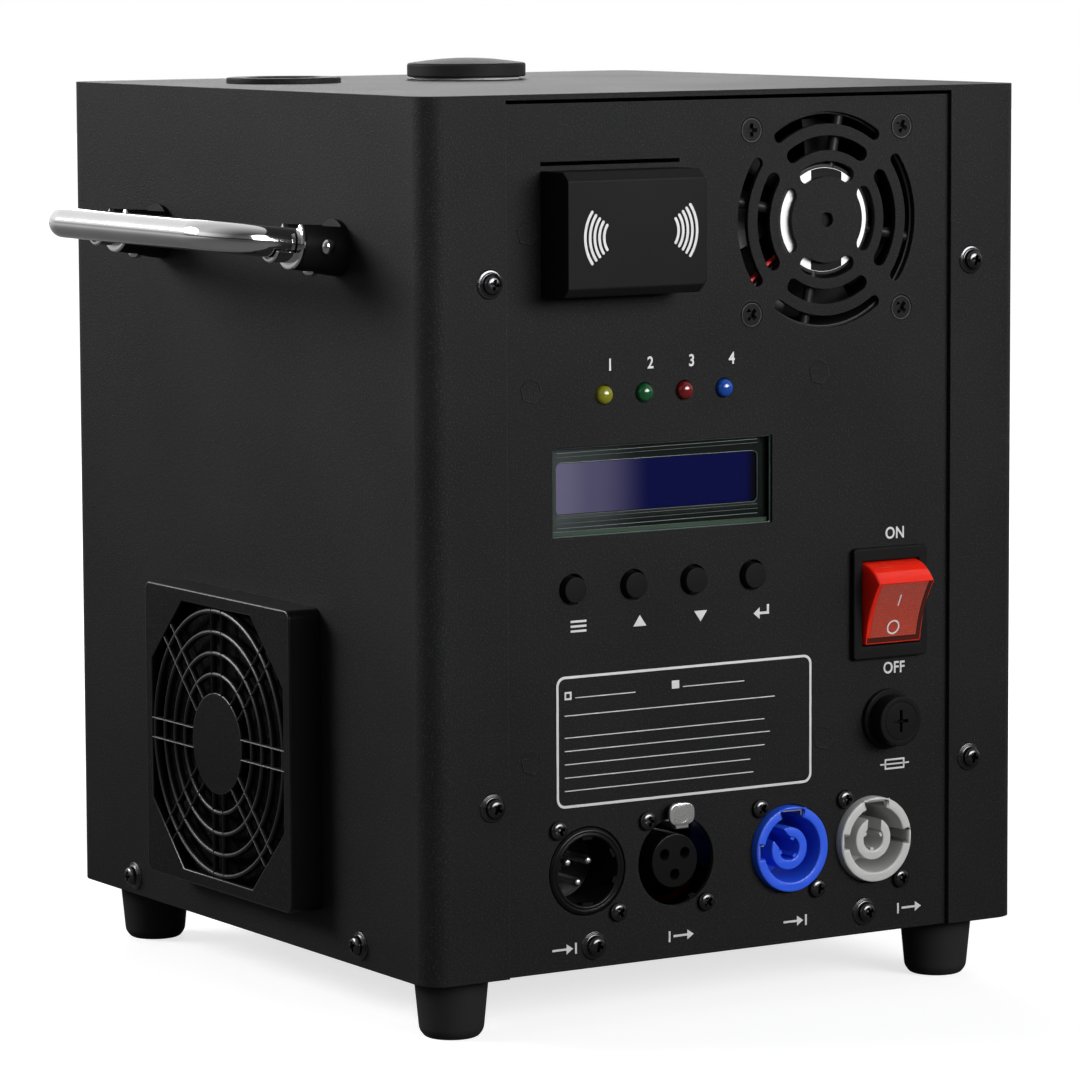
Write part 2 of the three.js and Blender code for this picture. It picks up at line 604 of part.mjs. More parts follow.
// Control panel with every opening that the photograph shows, and the studs that carry the board.
function controlPanel() {
  const shape = polygon([
    [-PANEL_HALF_W, 0],
    [PANEL_HALF_W, 0],
    [PANEL_HALF_W, PANEL_H],
    [-PANEL_HALF_W, PANEL_H],
  ]);
  for (const [rIn, rOut] of GRILLE_ARCS) {
    for (let q = 0; q < 4; q += 1) {
      shape.holes.push(arcSlot(PANEL_FAN_X, PANEL_FAN_Z, rIn, rOut, (q * Math.PI) / 2));
    }
  }
  shape.holes.push(rectPath(LCD.x0, LCD.x1, LCD.z0, LCD.z1));
  const slotZ = REMOTE.z1 + REMOTE_SLOT.rise;
  shape.holes.push(rectPath(REMOTE.x0, REMOTE.x1, slotZ - REMOTE_SLOT.half, slotZ + REMOTE_SLOT.half));
  const well = [BEZEL_BODY_W / 2 + GAP, BEZEL_BODY_H / 2 + GAP];
  shape.holes.push(rectPath(ROCKER_X - well[0], ROCKER_X + well[0], ROCKER_Z - well[1], ROCKER_Z + well[1]));
  const plate = pushed('y', shape, PANEL_FRONT, PANEL_BACK, 3);
  const drill = (x, z, r) => rod('y', r, PANEL_FRONT - OVER, PANEL_BACK + OVER, new THREE.Vector3(x, 0, z));
  const drills = [
    drill(PANEL_FAN_X, PANEL_FAN_Z, GRILLE_HOLE_R),
    drill(FUSE_X, FUSE_Z, FUSE_BODY_R + GAP),
    ...LED_X.map((x) => drill(x, LED_Z, LED.r + LED.hole)),
    ...BUTTON_X.map((x) => drill(x, BUTTON_Z, BUTTON_HOLE_R)),
    ...[XLR_MALE_X, XLR_FEMALE_X, INLET_X, OUTLET_X].map((x) => drill(x, CONN_Z, CONN_HOLE_R)),
  ];
  const stud = ([x, z]) => rod('y', STUD_R, PANEL_BACK - SINK, BOARD_FRONT, new THREE.Vector3(x, 0, z));
  return join(cut(plate, ...drills), ...STUDS.map(stud));
}

// Rear panel with two banks of cooling slots.
function rearPanel() {
  const plate = box(-PANEL_HALF_W, PANEL_HALF_W, REAR_FRONT, REAR_BACK, 0, PANEL_H);
  const [w, h] = [REAR_BANK.w / 2, REAR_BANK.h / 2];
  const slots = [];
  for (const side of [-1, 1]) {
    for (let row = 0; row < REAR_BANK.rows; row += 1) {
      const z = REAR_BANK.z + row * REAR_BANK.pitch;
      const x = side * PANEL_HALF_W * REAR_BANK_SHARE;
      slots.push(box(x - w, x + w, REAR_FRONT - OVER, REAR_BACK + OVER, z - h, z + h));
    }
  }
  return cut(plate, ...slots);
}

// Tapered rubber foot with a rounded sole and a screw recess.
function foot() {
  const soleR = FOOT.r - FOOT.taper;
  const profile = [
    [0, 0],
    [FOOT.r, 0],
    [soleR, -FOOT_H + FOOT.edgeH],
    [soleR - FOOT.edgeW, -FOOT_H],
    [FOOT.recessR, -FOOT_H],
    [FOOT.recessR, -FOOT_H + FOOT.recessH],
    [0, -FOOT_H + FOOT.recessH],
  ];
  return turned('z', profile, NONE);
}

// Centreline of a handle: leg, bend, grip, bend and leg, with a step wherever its direction turns.
class HandlePath extends THREE.Curve {
  constructor() {
    super();
    const turns = 5;
    const half = HANDLE_PITCH / 2;
    const inner = half - HANDLE_BEND_R;
    const stop = (side, turn) => {
      const x = HANDLE_BEND_R * (1 - Math.sin(turn)) - HANDLE_REACH;
      return new THREE.Vector3(x, side * (inner + HANDLE_BEND_R * Math.cos(turn)), 0);
    };
    const turnAt = (k) => (k * Math.PI) / 2 / turns;
    this.stops = [new THREE.Vector3(HANDLE_TAIL, -half, 0)];
    for (let k = 0; k <= turns; k += 1) this.stops.push(stop(-1, turnAt(k)));
    for (let k = turns; k >= 0; k -= 1) this.stops.push(stop(1, turnAt(k)));
    this.stops.push(new THREE.Vector3(HANDLE_TAIL, half, 0));
  }

  getPoint(t) {
    const last = this.stops.length - 2;
    const place = THREE.MathUtils.clamp(t * (last + 1), 0, last + 1);
    const k = Math.min(Math.floor(place), last);
    return this.stops[k].clone().lerp(this.stops[k + 1], place - k);
  }

  getPointAt(u) {
    return this.getPoint(u);
  }

  getTangentAt(u) {
    return this.getTangent(u);
  }
}

// Handle rod in its own frame: pivot axis along Y through the origin, legs towards -X.
function handleRod() {
  const half = HANDLE_PITCH / 2;
  const path = new HandlePath();
  const section = new THREE.Shape().absarc(0, 0, HANDLE_ROD_R, 0, 2 * Math.PI, false);
  const options = { steps: path.stops.length - 1, curveSegments: 6, bevelEnabled: false, extrudePath: path };
  const rodBody = solid(new THREE.ExtrudeGeometry(section, options));
  const seat = CUP_R - PIN_DOME.sink;
  const pins = [-half, half].flatMap((y) => [
    rod('y', PIN_R, y - seat - SINK, y + seat + SINK, NONE),
    bar('y', PIN_DOME.r, PIN_DOME.topR, y + seat, y + seat + PIN_DOME.h, NONE),
    bar('y', PIN_DOME.topR, PIN_DOME.r, y - seat - PIN_DOME.h, y - seat, NONE),
  ]);
  return join(rodBody, ...pins);
}

// Cup: axis leaning up from the wall, pivot hole across it, slot open at the top, foot cut flat.
function handleCup() {
  const mouth = -CUP_LENGTH;
  const root = CUP_R * Math.sin(HANDLE_TILT);
  const shell = bar('x', CUP_MOUTH_R, CUP_R, mouth, root, NONE);
  const bore = rod('x', CUP_BORE_R, mouth - OVER, -CUP_FLOOR, NONE);
  const slot = box(mouth - OVER, -CUP_FLOOR, -SLOT_HALF, SLOT_HALF, 0, CUP_R + OVER);
  const pinHole = rod('y', PIN_HOLE_R, -CUP_R - OVER, CUP_R + OVER, new THREE.Vector3(-PIVOT_OFF, 0, 0));
  const leaning = solid(geometryOf(cut(shell, bore, slot, pinHole)).rotateY(HANDLE_TILT));
  return cut(leaning, box(0, CUP_R, -2 * CUP_R, 2 * CUP_R, -2 * CUP_R, 2 * CUP_R));
}

// Chrome liner: ring on the cup's mouth, open at the top, and a trough that stops the leg from below.
function handleLiner() {
  const mouth = -CUP_LENGTH;
  const end = mouth - LINER_RING_T;
  const ring = cut(
    rod('x', CUP_MOUTH_R, end, mouth, NONE),
    rod('x', LINER_BORE_R, end - OVER, mouth + OVER, NONE),
    box(end - OVER, mouth + OVER, -SLOT_HALF, SLOT_HALF, 0, CUP_R),
  );
  const lip = end - LINER_LIP;
  const inside = -CUP_FLOOR - LINER_CUP_GAP;
  const sleeve = cut(
    rod('x', LINER_R, lip, inside, NONE),
    rod('x', LINER_BORE_R, lip - OVER, inside + OVER, NONE),
    box(lip - OVER, inside + OVER, -CUP_R, CUP_R, -LINER_BORE_R / 2, CUP_R),
  );
  return join(ring, sleeve);
}

// Square fan frame, its intake face at 0 and its motor side at its full depth, axis along Z.
function fanFrame({ size, depth, hub, duct, pitch }) {
  const { cornerR, strutW, strutT, endT } = FAN_FRAME;
  const bored = cut(
    pushed('z', roundedRect(size, size, cornerR), 0, depth, 1),
    rod('z', duct, -OVER, depth + OVER, NONE),
  );
  const half = pitch / 2;
  const quadrants = [[-1, -1], [-1, 1], [1, -1], [1, 1]];
  const corners = quadrants.map(([sx, sy]) => new THREE.Vector3(sx * half, sy * half, 0));
  const drilled = cut(bored, ...corners.map((at) => rod('z', FAN_SCREW_R, -OVER, depth + OVER, at)));
  const seat = rod('z', hub - FAN_SEAT_STEP, depth - FAN_SEAT_T, depth, NONE);
  const struts = [0.2, 1.77, 3.34, 4.91].map((angle) => {
    const strut = new THREE.BoxGeometry(duct, strutW, strutT);
    strut.translate(duct / 2 + SINK, 0, depth - strutT / 2).rotateZ(angle);
    return solid(strut);
  });
  const shaftHole = rod('z', FAN_SHAFT_R + GAP, depth - FAN_SEAT_T - OVER, depth - endT, NONE);
  return cut(join(drilled, seat, ...struts), shaftHole);
}

// Fan rotor: hub with tilted blades, and the shaft that runs in the frame's seat.
function fanRotor({ depth, hub, tip }, blades) {
  const { setBack: top, edgeW, edgeH, run, shaftEnd, bladeT, root } = FAN_ROTOR;
  const bottom = depth - FAN_SEAT_T - run;
  const end = depth - shaftEnd;
  const shaft = FAN_SHAFT_R;
  const profile = [
    [0, top],
    [hub - edgeW, top],
    [hub, top + edgeH],
    [hub, bottom],
    [shaft, bottom],
    [shaft, end],
    [0, end],
  ];
  const sweep = 0.42;
  const narrow = 0.72;
  const parts = [];
  for (let k = 0; k < blades; k += 1) {
    const sector = new THREE.Shape();
    sector.absarc(0, 0, tip, -sweep * narrow, sweep * narrow, false);
    sector.absarc(0, 0, hub - root, sweep, -sweep, true);
    const blade = new THREE.ExtrudeGeometry(sector, { depth: bladeT, bevelEnabled: false, curveSegments: 1 });
    blade.translate(0, 0, -bladeT / 2).rotateX(FAN_PITCH).rotateZ((2 * Math.PI * k) / blades);
    parts.push(solid(blade.translate(0, 0, (top + bottom) / 2)));
  }
  const swept = rod('z', tip, top + SINK, bottom, NONE);
  return join(turned('z', profile, NONE), join(...parts).intersect(swept));
}

// Octagon with cut corners, the guard's opening.
function guardOctagon(half, corner) {
  return [
    [half, -corner],
    [half, corner],
    [corner, half],
    [-corner, half],
    [-half, corner],
    [-half, -corner],
    [-corner, -half],
    [corner, -half],
  ];
}

// Clip-on guard cover: skirt, face with an octagonal window, four rings and eight pairs of bars.
function guardCover() {
  const outer = LEFT - GUARD_DEPTH;
  const inside = outer + GUARD_FACE;
  const hollow = GUARD_SIZE - 2 * GUARD_WALL;
  const skirt = cut(
    pushed('x', roundedRect(GUARD_SIZE, GUARD_SIZE, GUARD_EDGE_R), outer, LEFT - GAP, 2),
    pushed('x', roundedRect(hollow, hollow, GUARD_INNER_R), inside, LEFT + OVER, 1),
    pushed('x', polygon(guardOctagon(GUARD_OPENING, GUARD_CORNER)), outer - OVER, inside + OVER),
  );
  const rings = GUARD_RING_R.map((r) => {
    const [r0, r1] = [r - GUARD_RING_W / 2, r + GUARD_RING_W / 2];
    return turned('x', [[r0, outer], [r0, inside], [r1, inside], [r1, outer]], NONE);
  });
  const hub = rod('x', GUARD_HUB_R, outer, inside, NONE);
  const reach = GUARD_OPENING + GUARD_WALL;
  const bars = [];
  for (let k = 0; k < 4; k += 1) {
    for (const side of [-1, 1]) {
      const strip = new THREE.BoxGeometry(GUARD_FACE, GUARD_BAR_W, 2 * reach);
      strip.translate((outer + inside) / 2, side * GUARD_BAR_OFF, 0).rotateX((k * Math.PI) / 4);
      bars.push(solid(strip));
    }
  }
  const span = GUARD_SIZE - GUARD_WALL;
  const window = pushed('x', roundedRect(span, span, GUARD_EDGE_R - GUARD_WALL / 2), outer, inside, 1);
  const grille = join(...rings, hub, ...bars).intersect(window);
  return join(skirt, grille);
}

// Guard base: plate on the wall, with a round opening, under the cover.
function guardBase() {
  const face = LEFT - GUARD_BASE_T;
  return cut(
    pushed('x', roundedRect(GUARD_BASE_SIZE, GUARD_BASE_SIZE, GUARD_BASE_R), face, LEFT, 2),
    rod('x', SIDE_OPENING_R, face - OVER, LEFT + OVER, NONE),
  );
}

function guardFilter() {
  const front = LEFT - GUARD_BASE_T;
  return pushed('x', roundedRect(FILTER_SIZE, FILTER_SIZE, GUARD_BASE_R), front - FILTER_T, front, 2);
}

// Bracket on the tray: shelf for the spark head, two folded legs and the upright for the feed motor.
function headBracket() {
  const shaft = new THREE.Vector3(0, HEAD_Y, FEED_Z);
  const plate = box(SHELF_X0, SHELF_X1, SHELF_Y0, SHELF_Y1, SHELF_Z, SHELF_Z + SHEET);
  const rightLegY0 = SUPPLY.y0 + SUPPLY_SIZE.frontGap;
  const legs = [
    box(LEFT_LEG_X, LEFT_LEG_X + SHEET, LEFT_LEG_Y0, SHELF_Y1, SHEET, SHELF_Z),
    box(SHELF_X1 - SHEET, SHELF_X1, rightLegY0, SHELF_Y1, SHEET, SHELF_Z),
  ];
  const { t, half, rise, holeGap } = UPRIGHT;
  const upright = box(FEED_END_X, FEED_END_X + t, HEAD_Y - half, HEAD_Y + half, SHELF_Z, FEED_Z + rise);
  const hole = rod('x', AUGER_SHAFT_R + holeGap, FEED_END_X - OVER, FEED_END_X + t + OVER, shaft);
  return cut(join(plate, ...legs, upright), hole);
}

// Blower: flat snail housing, its eye in the front face and its outlet up into the heater.
function blowerHousing() {
  const half = BLOWER_SIZE / 2;
  const wall = BLOWER_WALL;
  const axisZ = BLOWER_BASE + half - BLOWER.drop;
  const y0 = HEAD_Y - BLOWER_DEPTH / 2;
  const y1 = HEAD_Y + BLOWER_DEPTH / 2;
  const outline = (inset) => {
    const shape = new THREE.Shape();
    const r = half - inset;
    shape.moveTo(BLOWER_X + r, HEATER_BASE);
    shape.lineTo(BLOWER_X - BLOWER.shoulderX + inset, HEATER_BASE);
    shape.lineTo(BLOWER_X - BLOWER.cornerX + inset, HEATER_BASE - BLOWER.cornerZ);
    shape.absarc(BLOWER_X, axisZ, r - BLOWER.scroll, 2.1, 2 * Math.PI, false);
    return shape;
  };
  const shell = pushed('y', outline(0), y0, y1, 10);
  const space = pushed('y', outline(wall), y0 + wall, y1 - wall, 10);
  const [mouthX0, mouthX1] = [BLOWER_X - BLOWER.mouthX, BLOWER_X + half - wall];
  const mouth = box(mouthX0, mouthX1, y0 + wall, y1 - wall, HEATER_BASE - OVER, HEATER_BASE + OVER);
  const axis = new THREE.Vector3(BLOWER_X, 0, axisZ);
  const eye = rod('y', BLOWER.eyeR, y0 - OVER, y0 + wall + OVER, axis);
  const shaftHole = rod('y', WHEEL_SHAFT_R + GAP, y1 - wall - OVER, y1 + OVER, axis);
  const plinth = box(BLOWER_X - half, BLOWER_X + half, y0, y1, BLOWER_BASE, BLOWER_BASE + BLOWER.plinthT);
  return cut(join(shell, plinth), space, mouth, eye, shaftHole);
}

// Blower wheel: back disc, hub, slanted vanes, and the shaft in the housing's rear wall.
function blowerImpeller() {
  const axis = new THREE.Vector3(BLOWER_X, 0, BLOWER_BASE + BLOWER_SIZE / 2 - BLOWER.drop);
  const rear = HEAD_Y + BLOWER_DEPTH / 2;
  const back = rear - BLOWER_WALL - WHEEL.rearGap;
  const front = HEAD_Y - BLOWER_DEPTH / 2 + BLOWER_WALL + WHEEL.frontGap;
  const disc = rod('y', WHEEL_R, back - WHEEL.discT, back, axis);
  const hub = rod('y', WHEEL.hubR, front, back, axis);
  const shaft = rod('y', WHEEL_SHAFT_R, back - SINK, rear - GAP, axis);
  const vanes = [];
  for (let k = 0; k < WHEEL_VANES; k += 1) {
    const vane = new THREE.BoxGeometry(WHEEL.vane, back - front, WHEEL.vaneT);
    vane.rotateY(WHEEL_SLANT).translate(WHEEL_R - WHEEL.vaneIn, (front + back) / 2, 0);
    vane.rotateY((2 * Math.PI * k) / WHEEL_VANES).translate(axis.x, 0, axis.z);
    vanes.push(solid(vane));
  }
  return join(disc, hub, shaft, ...vanes);
}

// Heater: metal block bored through, with the powder port in its side.
function heaterBlock() {
  const centre = new THREE.Vector3(NOZZLE_X, HEAD_Y, 0);
  const [x, y, half] = [NOZZLE_X, HEAD_Y, HEATER_HALF];
  const block = box(x - half, x + half, y - half, y + half, HEATER_BASE, HEATER_TOP);
  const bore = rod('z', HEATER_BORE_R, HEATER_BASE - OVER, HEATER_TOP + OVER, centre);
  const port = rod('x', FEED_BORE_R, x, x + half + OVER, new THREE.Vector3(0, y, FEED_Z));
  return cut(block, bore, port);
}

function heaterJacket() {
  const centre = new THREE.Vector3(NOZZLE_X, HEAD_Y, 0);
  const [x, y] = [NOZZLE_X, HEAD_Y];
  const [z0, z1] = [HEATER_BASE + JACKET_END, HEATER_TOP - JACKET_END];
  const wrap = rod('z', JACKET_R, z0, z1, centre);
  const core = box(x - HEATER_HALF, x + HEATER_HALF, y - HEATER_HALF, y + HEATER_HALF, z0 - OVER, z1 + OVER);
  const port = rod('x', FEED_TUBE_R + JACKET_GAP, x, x + JACKET_R + OVER, new THREE.Vector3(0, y, FEED_Z));
  return cut(wrap, core, port);
}

// Spark outlet: thin round flange on the roof and the tube down to the heater.
function sparkOutlet() {
  const top = BODY_H + NOZZLE_FLANGE_T;
  const profile = [
    [NOZZLE_BORE_R, HEATER_TOP],
    [NOZZLE_R, HEATER_TOP],
    [NOZZLE_R, BODY_H],
    [NOZZLE_FLANGE_R, BODY_H],
    [NOZZLE_FLANGE_R, top - NOZZLE_EDGE],
    [NOZZLE_FLANGE_R - NOZZLE_EDGE, top],
    [NOZZLE_BORE_R, top],
  ];
  return turned('z', profile, new THREE.Vector3(NOZZLE_X, HEAD_Y, 0));
}

// Feed tube between heater and motor bracket, with a saddle that takes the hopper.
function augerTube() {
  const start = NOZZLE_X + HEATER_HALF;
  const axis = new THREE.Vector3(0, HEAD_Y, FEED_Z);
  const half = FEED_SADDLE_HALF;
  const top = FEED_Z + FEED_SADDLE_H;
  const tube = join(
    rod('x', FEED_TUBE_R, start, FEED_END_X, axis),
    box(HOPPER_X - half, HOPPER_X + half, HEAD_Y - half, HEAD_Y + half, FEED_Z, top),
  );
  const bore = rod('x', FEED_BORE_R, start - OVER, FEED_END_X + OVER, axis);
  const port = rod('z', FEED_PORT_R, FEED_Z, top + OVER, new THREE.Vector3(HOPPER_X, HEAD_Y, 0));
  return cut(tube, bore, port);
}

// Feed screw: shaft with one helical flight, drawn along X.
function feedAuger() {
  const start = NOZZLE_X + HEATER_HALF - AUGER.start;
  const end = FEED_END_X + AUGER.end;
  const axis = new THREE.Vector3(0, HEAD_Y, FEED_Z);
  const shaft = rod('x', AUGER_SHAFT_R, start, end, axis);
  const steps = AUGER_TURNS * AUGER_STEPS;
  const ring = (k) => {
    const angle = (2 * Math.PI * (k + 0.5)) / AUGER_STEPS;
    const x = start + AUGER.flightStart + (AUGER_PITCH * k) / AUGER_STEPS;
    const place = (r, dx) => [x + dx, HEAD_Y + r * Math.cos(angle), FEED_Z + r * Math.sin(angle)];
    const core = AUGER_SHAFT_R - AUGER.root;
    return [place(core, 0), place(AUGER_R, 0), place(AUGER_R, AUGER.flightT), place(core, AUGER.flightT)];
  };
  const vertices = [];
  for (let k = 0; k <= steps; k += 1) vertices.push(...ring(k).flat());
  const faces = [];
  const quad = (a, b, c, d) => faces.push(a, c, b, a, d, c);
  for (let k = 0; k < steps; k += 1) {
    const base = 4 * k;
    for (let i = 0; i < 4; i += 1) {
      const j = (i + 1) % 4;
      quad(base + i, base + j, base + 4 + j, base + 4 + i);
    }
  }
  quad(3, 2, 1, 0);
  const last = 4 * steps;
  quad(last, last + 1, last + 2, last + 3);
  const flight = new THREE.BufferGeometry();
  flight.setAttribute('position', new THREE.BufferAttribute(new Float32Array(vertices), 3));
  flight.setIndex(faces);
  return join(shaft, solid(flight));
}

// Feed motor: gearbox and motor can up to the right wall, with the bore that takes the screw's shaft.
function feedMotor() {
  const start = FEED_END_X + UPRIGHT.t;
  const gearEnd = start + MOTOR.gearL;
  const capEnd = WALL_RIGHT - MOTOR.wallGap;
  const canEnd = capEnd - MOTOR.capL;
  const axis = new THREE.Vector3(0, HEAD_Y, FEED_Z);
  const gearbox = rod('x', MOTOR.gearR, start, gearEnd, axis);
  const can = rod('x', MOTOR.canR, gearEnd, canEnd, axis);
  const cap = rod('x', MOTOR.capR, canEnd, capEnd, axis);
  const bore = rod('x', AUGER_SHAFT_R + MOTOR.boreGap, start - OVER, start + MOTOR.bore, axis);
  return cut(join(gearbox, can, cap), bore);
}

// Hopper: spout on the feed tube, funnel, belly, shoulder, and a neck through the roof.
function hopperFunnel() {
  const z0 = FEED_Z + FEED_SADDLE_H;
  const neckTop = BODY_H + COLLAR_T;
  const wall = HOPPER_WALL;
  const { w, taper, h, floorT, step } = HOPPER_SPOUT;
  const rise = (share) => z0 + (ROOF - z0) * share;
  const coneTop = rise(HOPPER_SHARES.cone);
  const shoulder = rise(HOPPER_SHARES.shoulder);
  const neckBase = rise(HOPPER_SHARES.neck);
  const profile = [
    [FEED_PORT_R, z0],
    [FEED_PORT_R + wall + w, z0],
    [FEED_PORT_R + wall + taper, z0 + h],
    [HOPPER_BELLY_R, coneTop],
    [HOPPER_BELLY_R, shoulder],
    [NECK_R, neckBase],
    [NECK_R, neckTop],
    [NECK_BORE_R, neckTop],
    [NECK_BORE_R, neckBase - step],
    [HOPPER_BELLY_R - wall, shoulder - step],
    [HOPPER_BELLY_R - wall, coneTop + step],
    [FEED_PORT_R, z0 + floorT],
  ];
  return turned('z', profile, new THREE.Vector3(HOPPER_X, HEAD_Y, 0));
}

function hopperCollar() {
  const [r0, r1] = [NECK_R + GAP, COLLAR_R];
  const profile = [[r0, BODY_H], [r1, BODY_H], [r1, BODY_H + COLLAR_T], [r0, BODY_H + COLLAR_T]];
  return turned('z', profile, new THREE.Vector3(HOPPER_X, HEAD_Y, 0));
}

// Hopper cap: low domed lid with a plug that fits down inside the neck.
function hopperCap() {
  const seat = BODY_H + COLLAR_T;
  const rim = seat + CAP_RIM;
  const plugEnd = seat - CAP_PLUG_H;
  const profile = [
    [0, plugEnd],
    [CAP_PLUG_R, plugEnd],
    [CAP_PLUG_R, seat],
    [CAP_R - CAP_EDGE.foot, seat],
    [CAP_R, seat + CAP_EDGE.foot],
    [CAP_R, rim - CAP_EDGE.top],
    [CAP_R - CAP_EDGE.top, rim],
    [CAP_R * CAP_SHARES.outer, rim + CAP_DOME * CAP_SHARES.outerRise],
    [CAP_R * CAP_SHARES.inner, rim + CAP_DOME * CAP_SHARES.innerRise],
    [0, rim + CAP_DOME],
  ];
  return turned('z', profile, new THREE.Vector3(HOPPER_X, HEAD_Y, 0));
}

// Switch-mode supply in a vented metal case on the tray, with its terminals along the front.
function powerSupply() {
  const { x0, x1, y0, y1 } = SUPPLY;
  const { count, w, endGap, sideGap, depth } = SUPPLY_SLOTS;
  const top = SUPPLY_SIZE.top;
  const pitch = (x1 - x0 - 2 * endGap - w) / (count - 1);
  const slots = [];
  for (let k = 0; k < count; k += 1) {
    const x = x0 + endGap + k * pitch;
    slots.push(box(x, x + w, y0 + sideGap, y1 - sideGap, top - depth, top + OVER));
  }
  const [left, right] = [x0 + TERMINALS.inLeft, x1 - TERMINALS.inRight];
  const foot = SHEET + TERMINALS.rise;
  const terminals = box(left, right, y0 - TERMINALS.depth, y0 + SINK, foot, foot + TERMINALS.h);
  return join(cut(box(x0, x1, y0, y1, SHEET, top), ...slots), terminals);
}

// Main board on four posts, with its larger components.
function mainBoard() {
  const { x0, x1, y0, y1 } = MAIN_BOARD;
  const { z, t, postR, postIn } = MAIN_BOARD_SIZE;
  const top = z + t;
  const [w, d] = [x1 - x0, y1 - y0];
  const [px0, px1, py0, py1] = [x0 + postIn, x1 - postIn, y0 + postIn, y1 - postIn];
  const posts = [[px0, py0], [px1, py0], [px0, py1], [px1, py1]].map(([x, y]) => new THREE.Vector3(x, y, 0));
  const capacitors = CAPACITOR_SHARES.map(([sx, sy]) => new THREE.Vector3(x0 + w * sx, y0 + d * sy, 0));
  const block = (shares, h) => {
    const [bx0, bx1] = [x0 + w * shares[0], x0 + w * shares[1]];
    const [by0, by1] = [y0 + d * shares[2], y0 + d * shares[3]];
    return box(bx0, bx1, by0, by1, top - SINK, top + h);
  };
  return join(
    box(x0, x1, y0, y1, z, top),
    ...posts.map((at) => rod('z', postR, SHEET, z + SINK, at)),
    ...capacitors.map((at) => rod('z', CAPACITOR.r, top - SINK, top + CAPACITOR.h, at)),
    ...BLOCK_SHARES.map((shares, k) => block(shares, BLOCK_H[k])),
  );
}

// Board behind the panel: carries the display, the push switches and the lamps.
function controlBoard() {
  const { x0, x1, z0, z1 } = BOARD;
  const back = BOARD_FRONT + BOARD_T;
  const { half, h } = BOARD_SWITCH;
  const [low, high] = [BUTTON_Z - half, BUTTON_Z + half];
  const [near, far] = [BOARD_FRONT - h, BOARD_FRONT + SINK];
  const switches = BUTTON_X.map((x) => box(x - half, x + half, near, far, low, high));
  const fitted = (left, item) => {
    const foot = z0 + item.up;
    return box(left, left + item.w, back - SINK, back + item.t, foot, foot + item.h);
  };
  const chip = fitted(x0 + BOARD_CHIP.in, BOARD_CHIP);
  const plug = fitted(x1 - BOARD_PLUG.in, BOARD_PLUG);
  return join(box(x0, x1, BOARD_FRONT, back, z0, z1), ...switches, chip, plug);
}

// Display: black metal frame against the panel's back, its window stepped down to the glass.
function lcdFrame() {
  const { x0, x1, z0, z1 } = LCD;
  const { rim, glassDepth } = LCD_SIZE;
  const outer = box(x0 - rim, x1 + rim, PANEL_BACK, BOARD_FRONT, z0 - rim, z1 + rim);
  const v = LCD_VIEW;
  const window = box(v.x0, v.x1, PANEL_BACK - OVER, PANEL_BACK + glassDepth, v.z0, v.z1);
  return cut(outer, window);
}

function lcdGlass() {
  const v = LCD_VIEW;
  const back = PANEL_BACK + LCD_SIZE.glassDepth;
  return box(v.x0 + GAP, v.x1 - GAP, back - LCD_SIZE.glassT, back, v.z0 + GAP, v.z1 - GAP);
}

// Push-button cap: domed face, and a flange that stops on the panel's back.
function buttonCap(x) {
  const tip = PANEL_FRONT - BUTTON_PROUD;
  const flange = PANEL_BACK + BUTTON.flangeT;
  const stem = BOARD_FRONT - BUTTON.stemEnd;
  const flangeR = BUTTON_HOLE_R + BUTTON.flangeW;
  const profile = [
    [0, tip],
    [BUTTON_R - BUTTON.edge, tip + BUTTON.crown],
    [BUTTON_R, tip + BUTTON.edge],
    [BUTTON_R, PANEL_BACK],
    [flangeR, PANEL_BACK],
    [flangeR, flange],
    [BUTTON.stemR, flange],
    [BUTTON.stemR, stem],
    [0, stem],
  ];
  return turned('y', profile, new THREE.Vector3(x, 0, BUTTON_Z));
}

// 5 mm lamp: domed lens with its collar behind the panel.
function lamp(x) {
  const tip = PANEL_FRONT - LED.proud;
  const collar = PANEL_BACK + LED.collarT;
  const profile = [
    [0, tip],
    [LED.r * LENS_SHARES.tip, tip + LED.tipH],
    [LED.r * LENS_SHARES.shoulder, tip + LED.shoulderH],
    [LED.r, tip + LED.domeH],
    [LED.r, PANEL_BACK],
    [LED.r + LED.collarW, PANEL_BACK],
    [LED.r + LED.collarW, collar],
    [0, collar],
  ];
  return turned('y', profile, new THREE.Vector3(x, 0, LED_Z));
}

// Receiver box for the hand remote, with sloped edges at its top and foot.
function remoteBox() {
  const { x0, x1, z0, z1 } = REMOTE;
  const { bevel } = REMOTE_SIZE;
  const profile = polygon([
    [PANEL_FRONT, z0],
    [PANEL_FRONT, z1],
    [REMOTE_FACE + bevel, z1],
    [REMOTE_FACE, z1 - bevel],
    [REMOTE_FACE, z0 + bevel],
    [REMOTE_FACE + bevel, z0],
  ]);
  return pushed('x', profile, x0, x1);
}

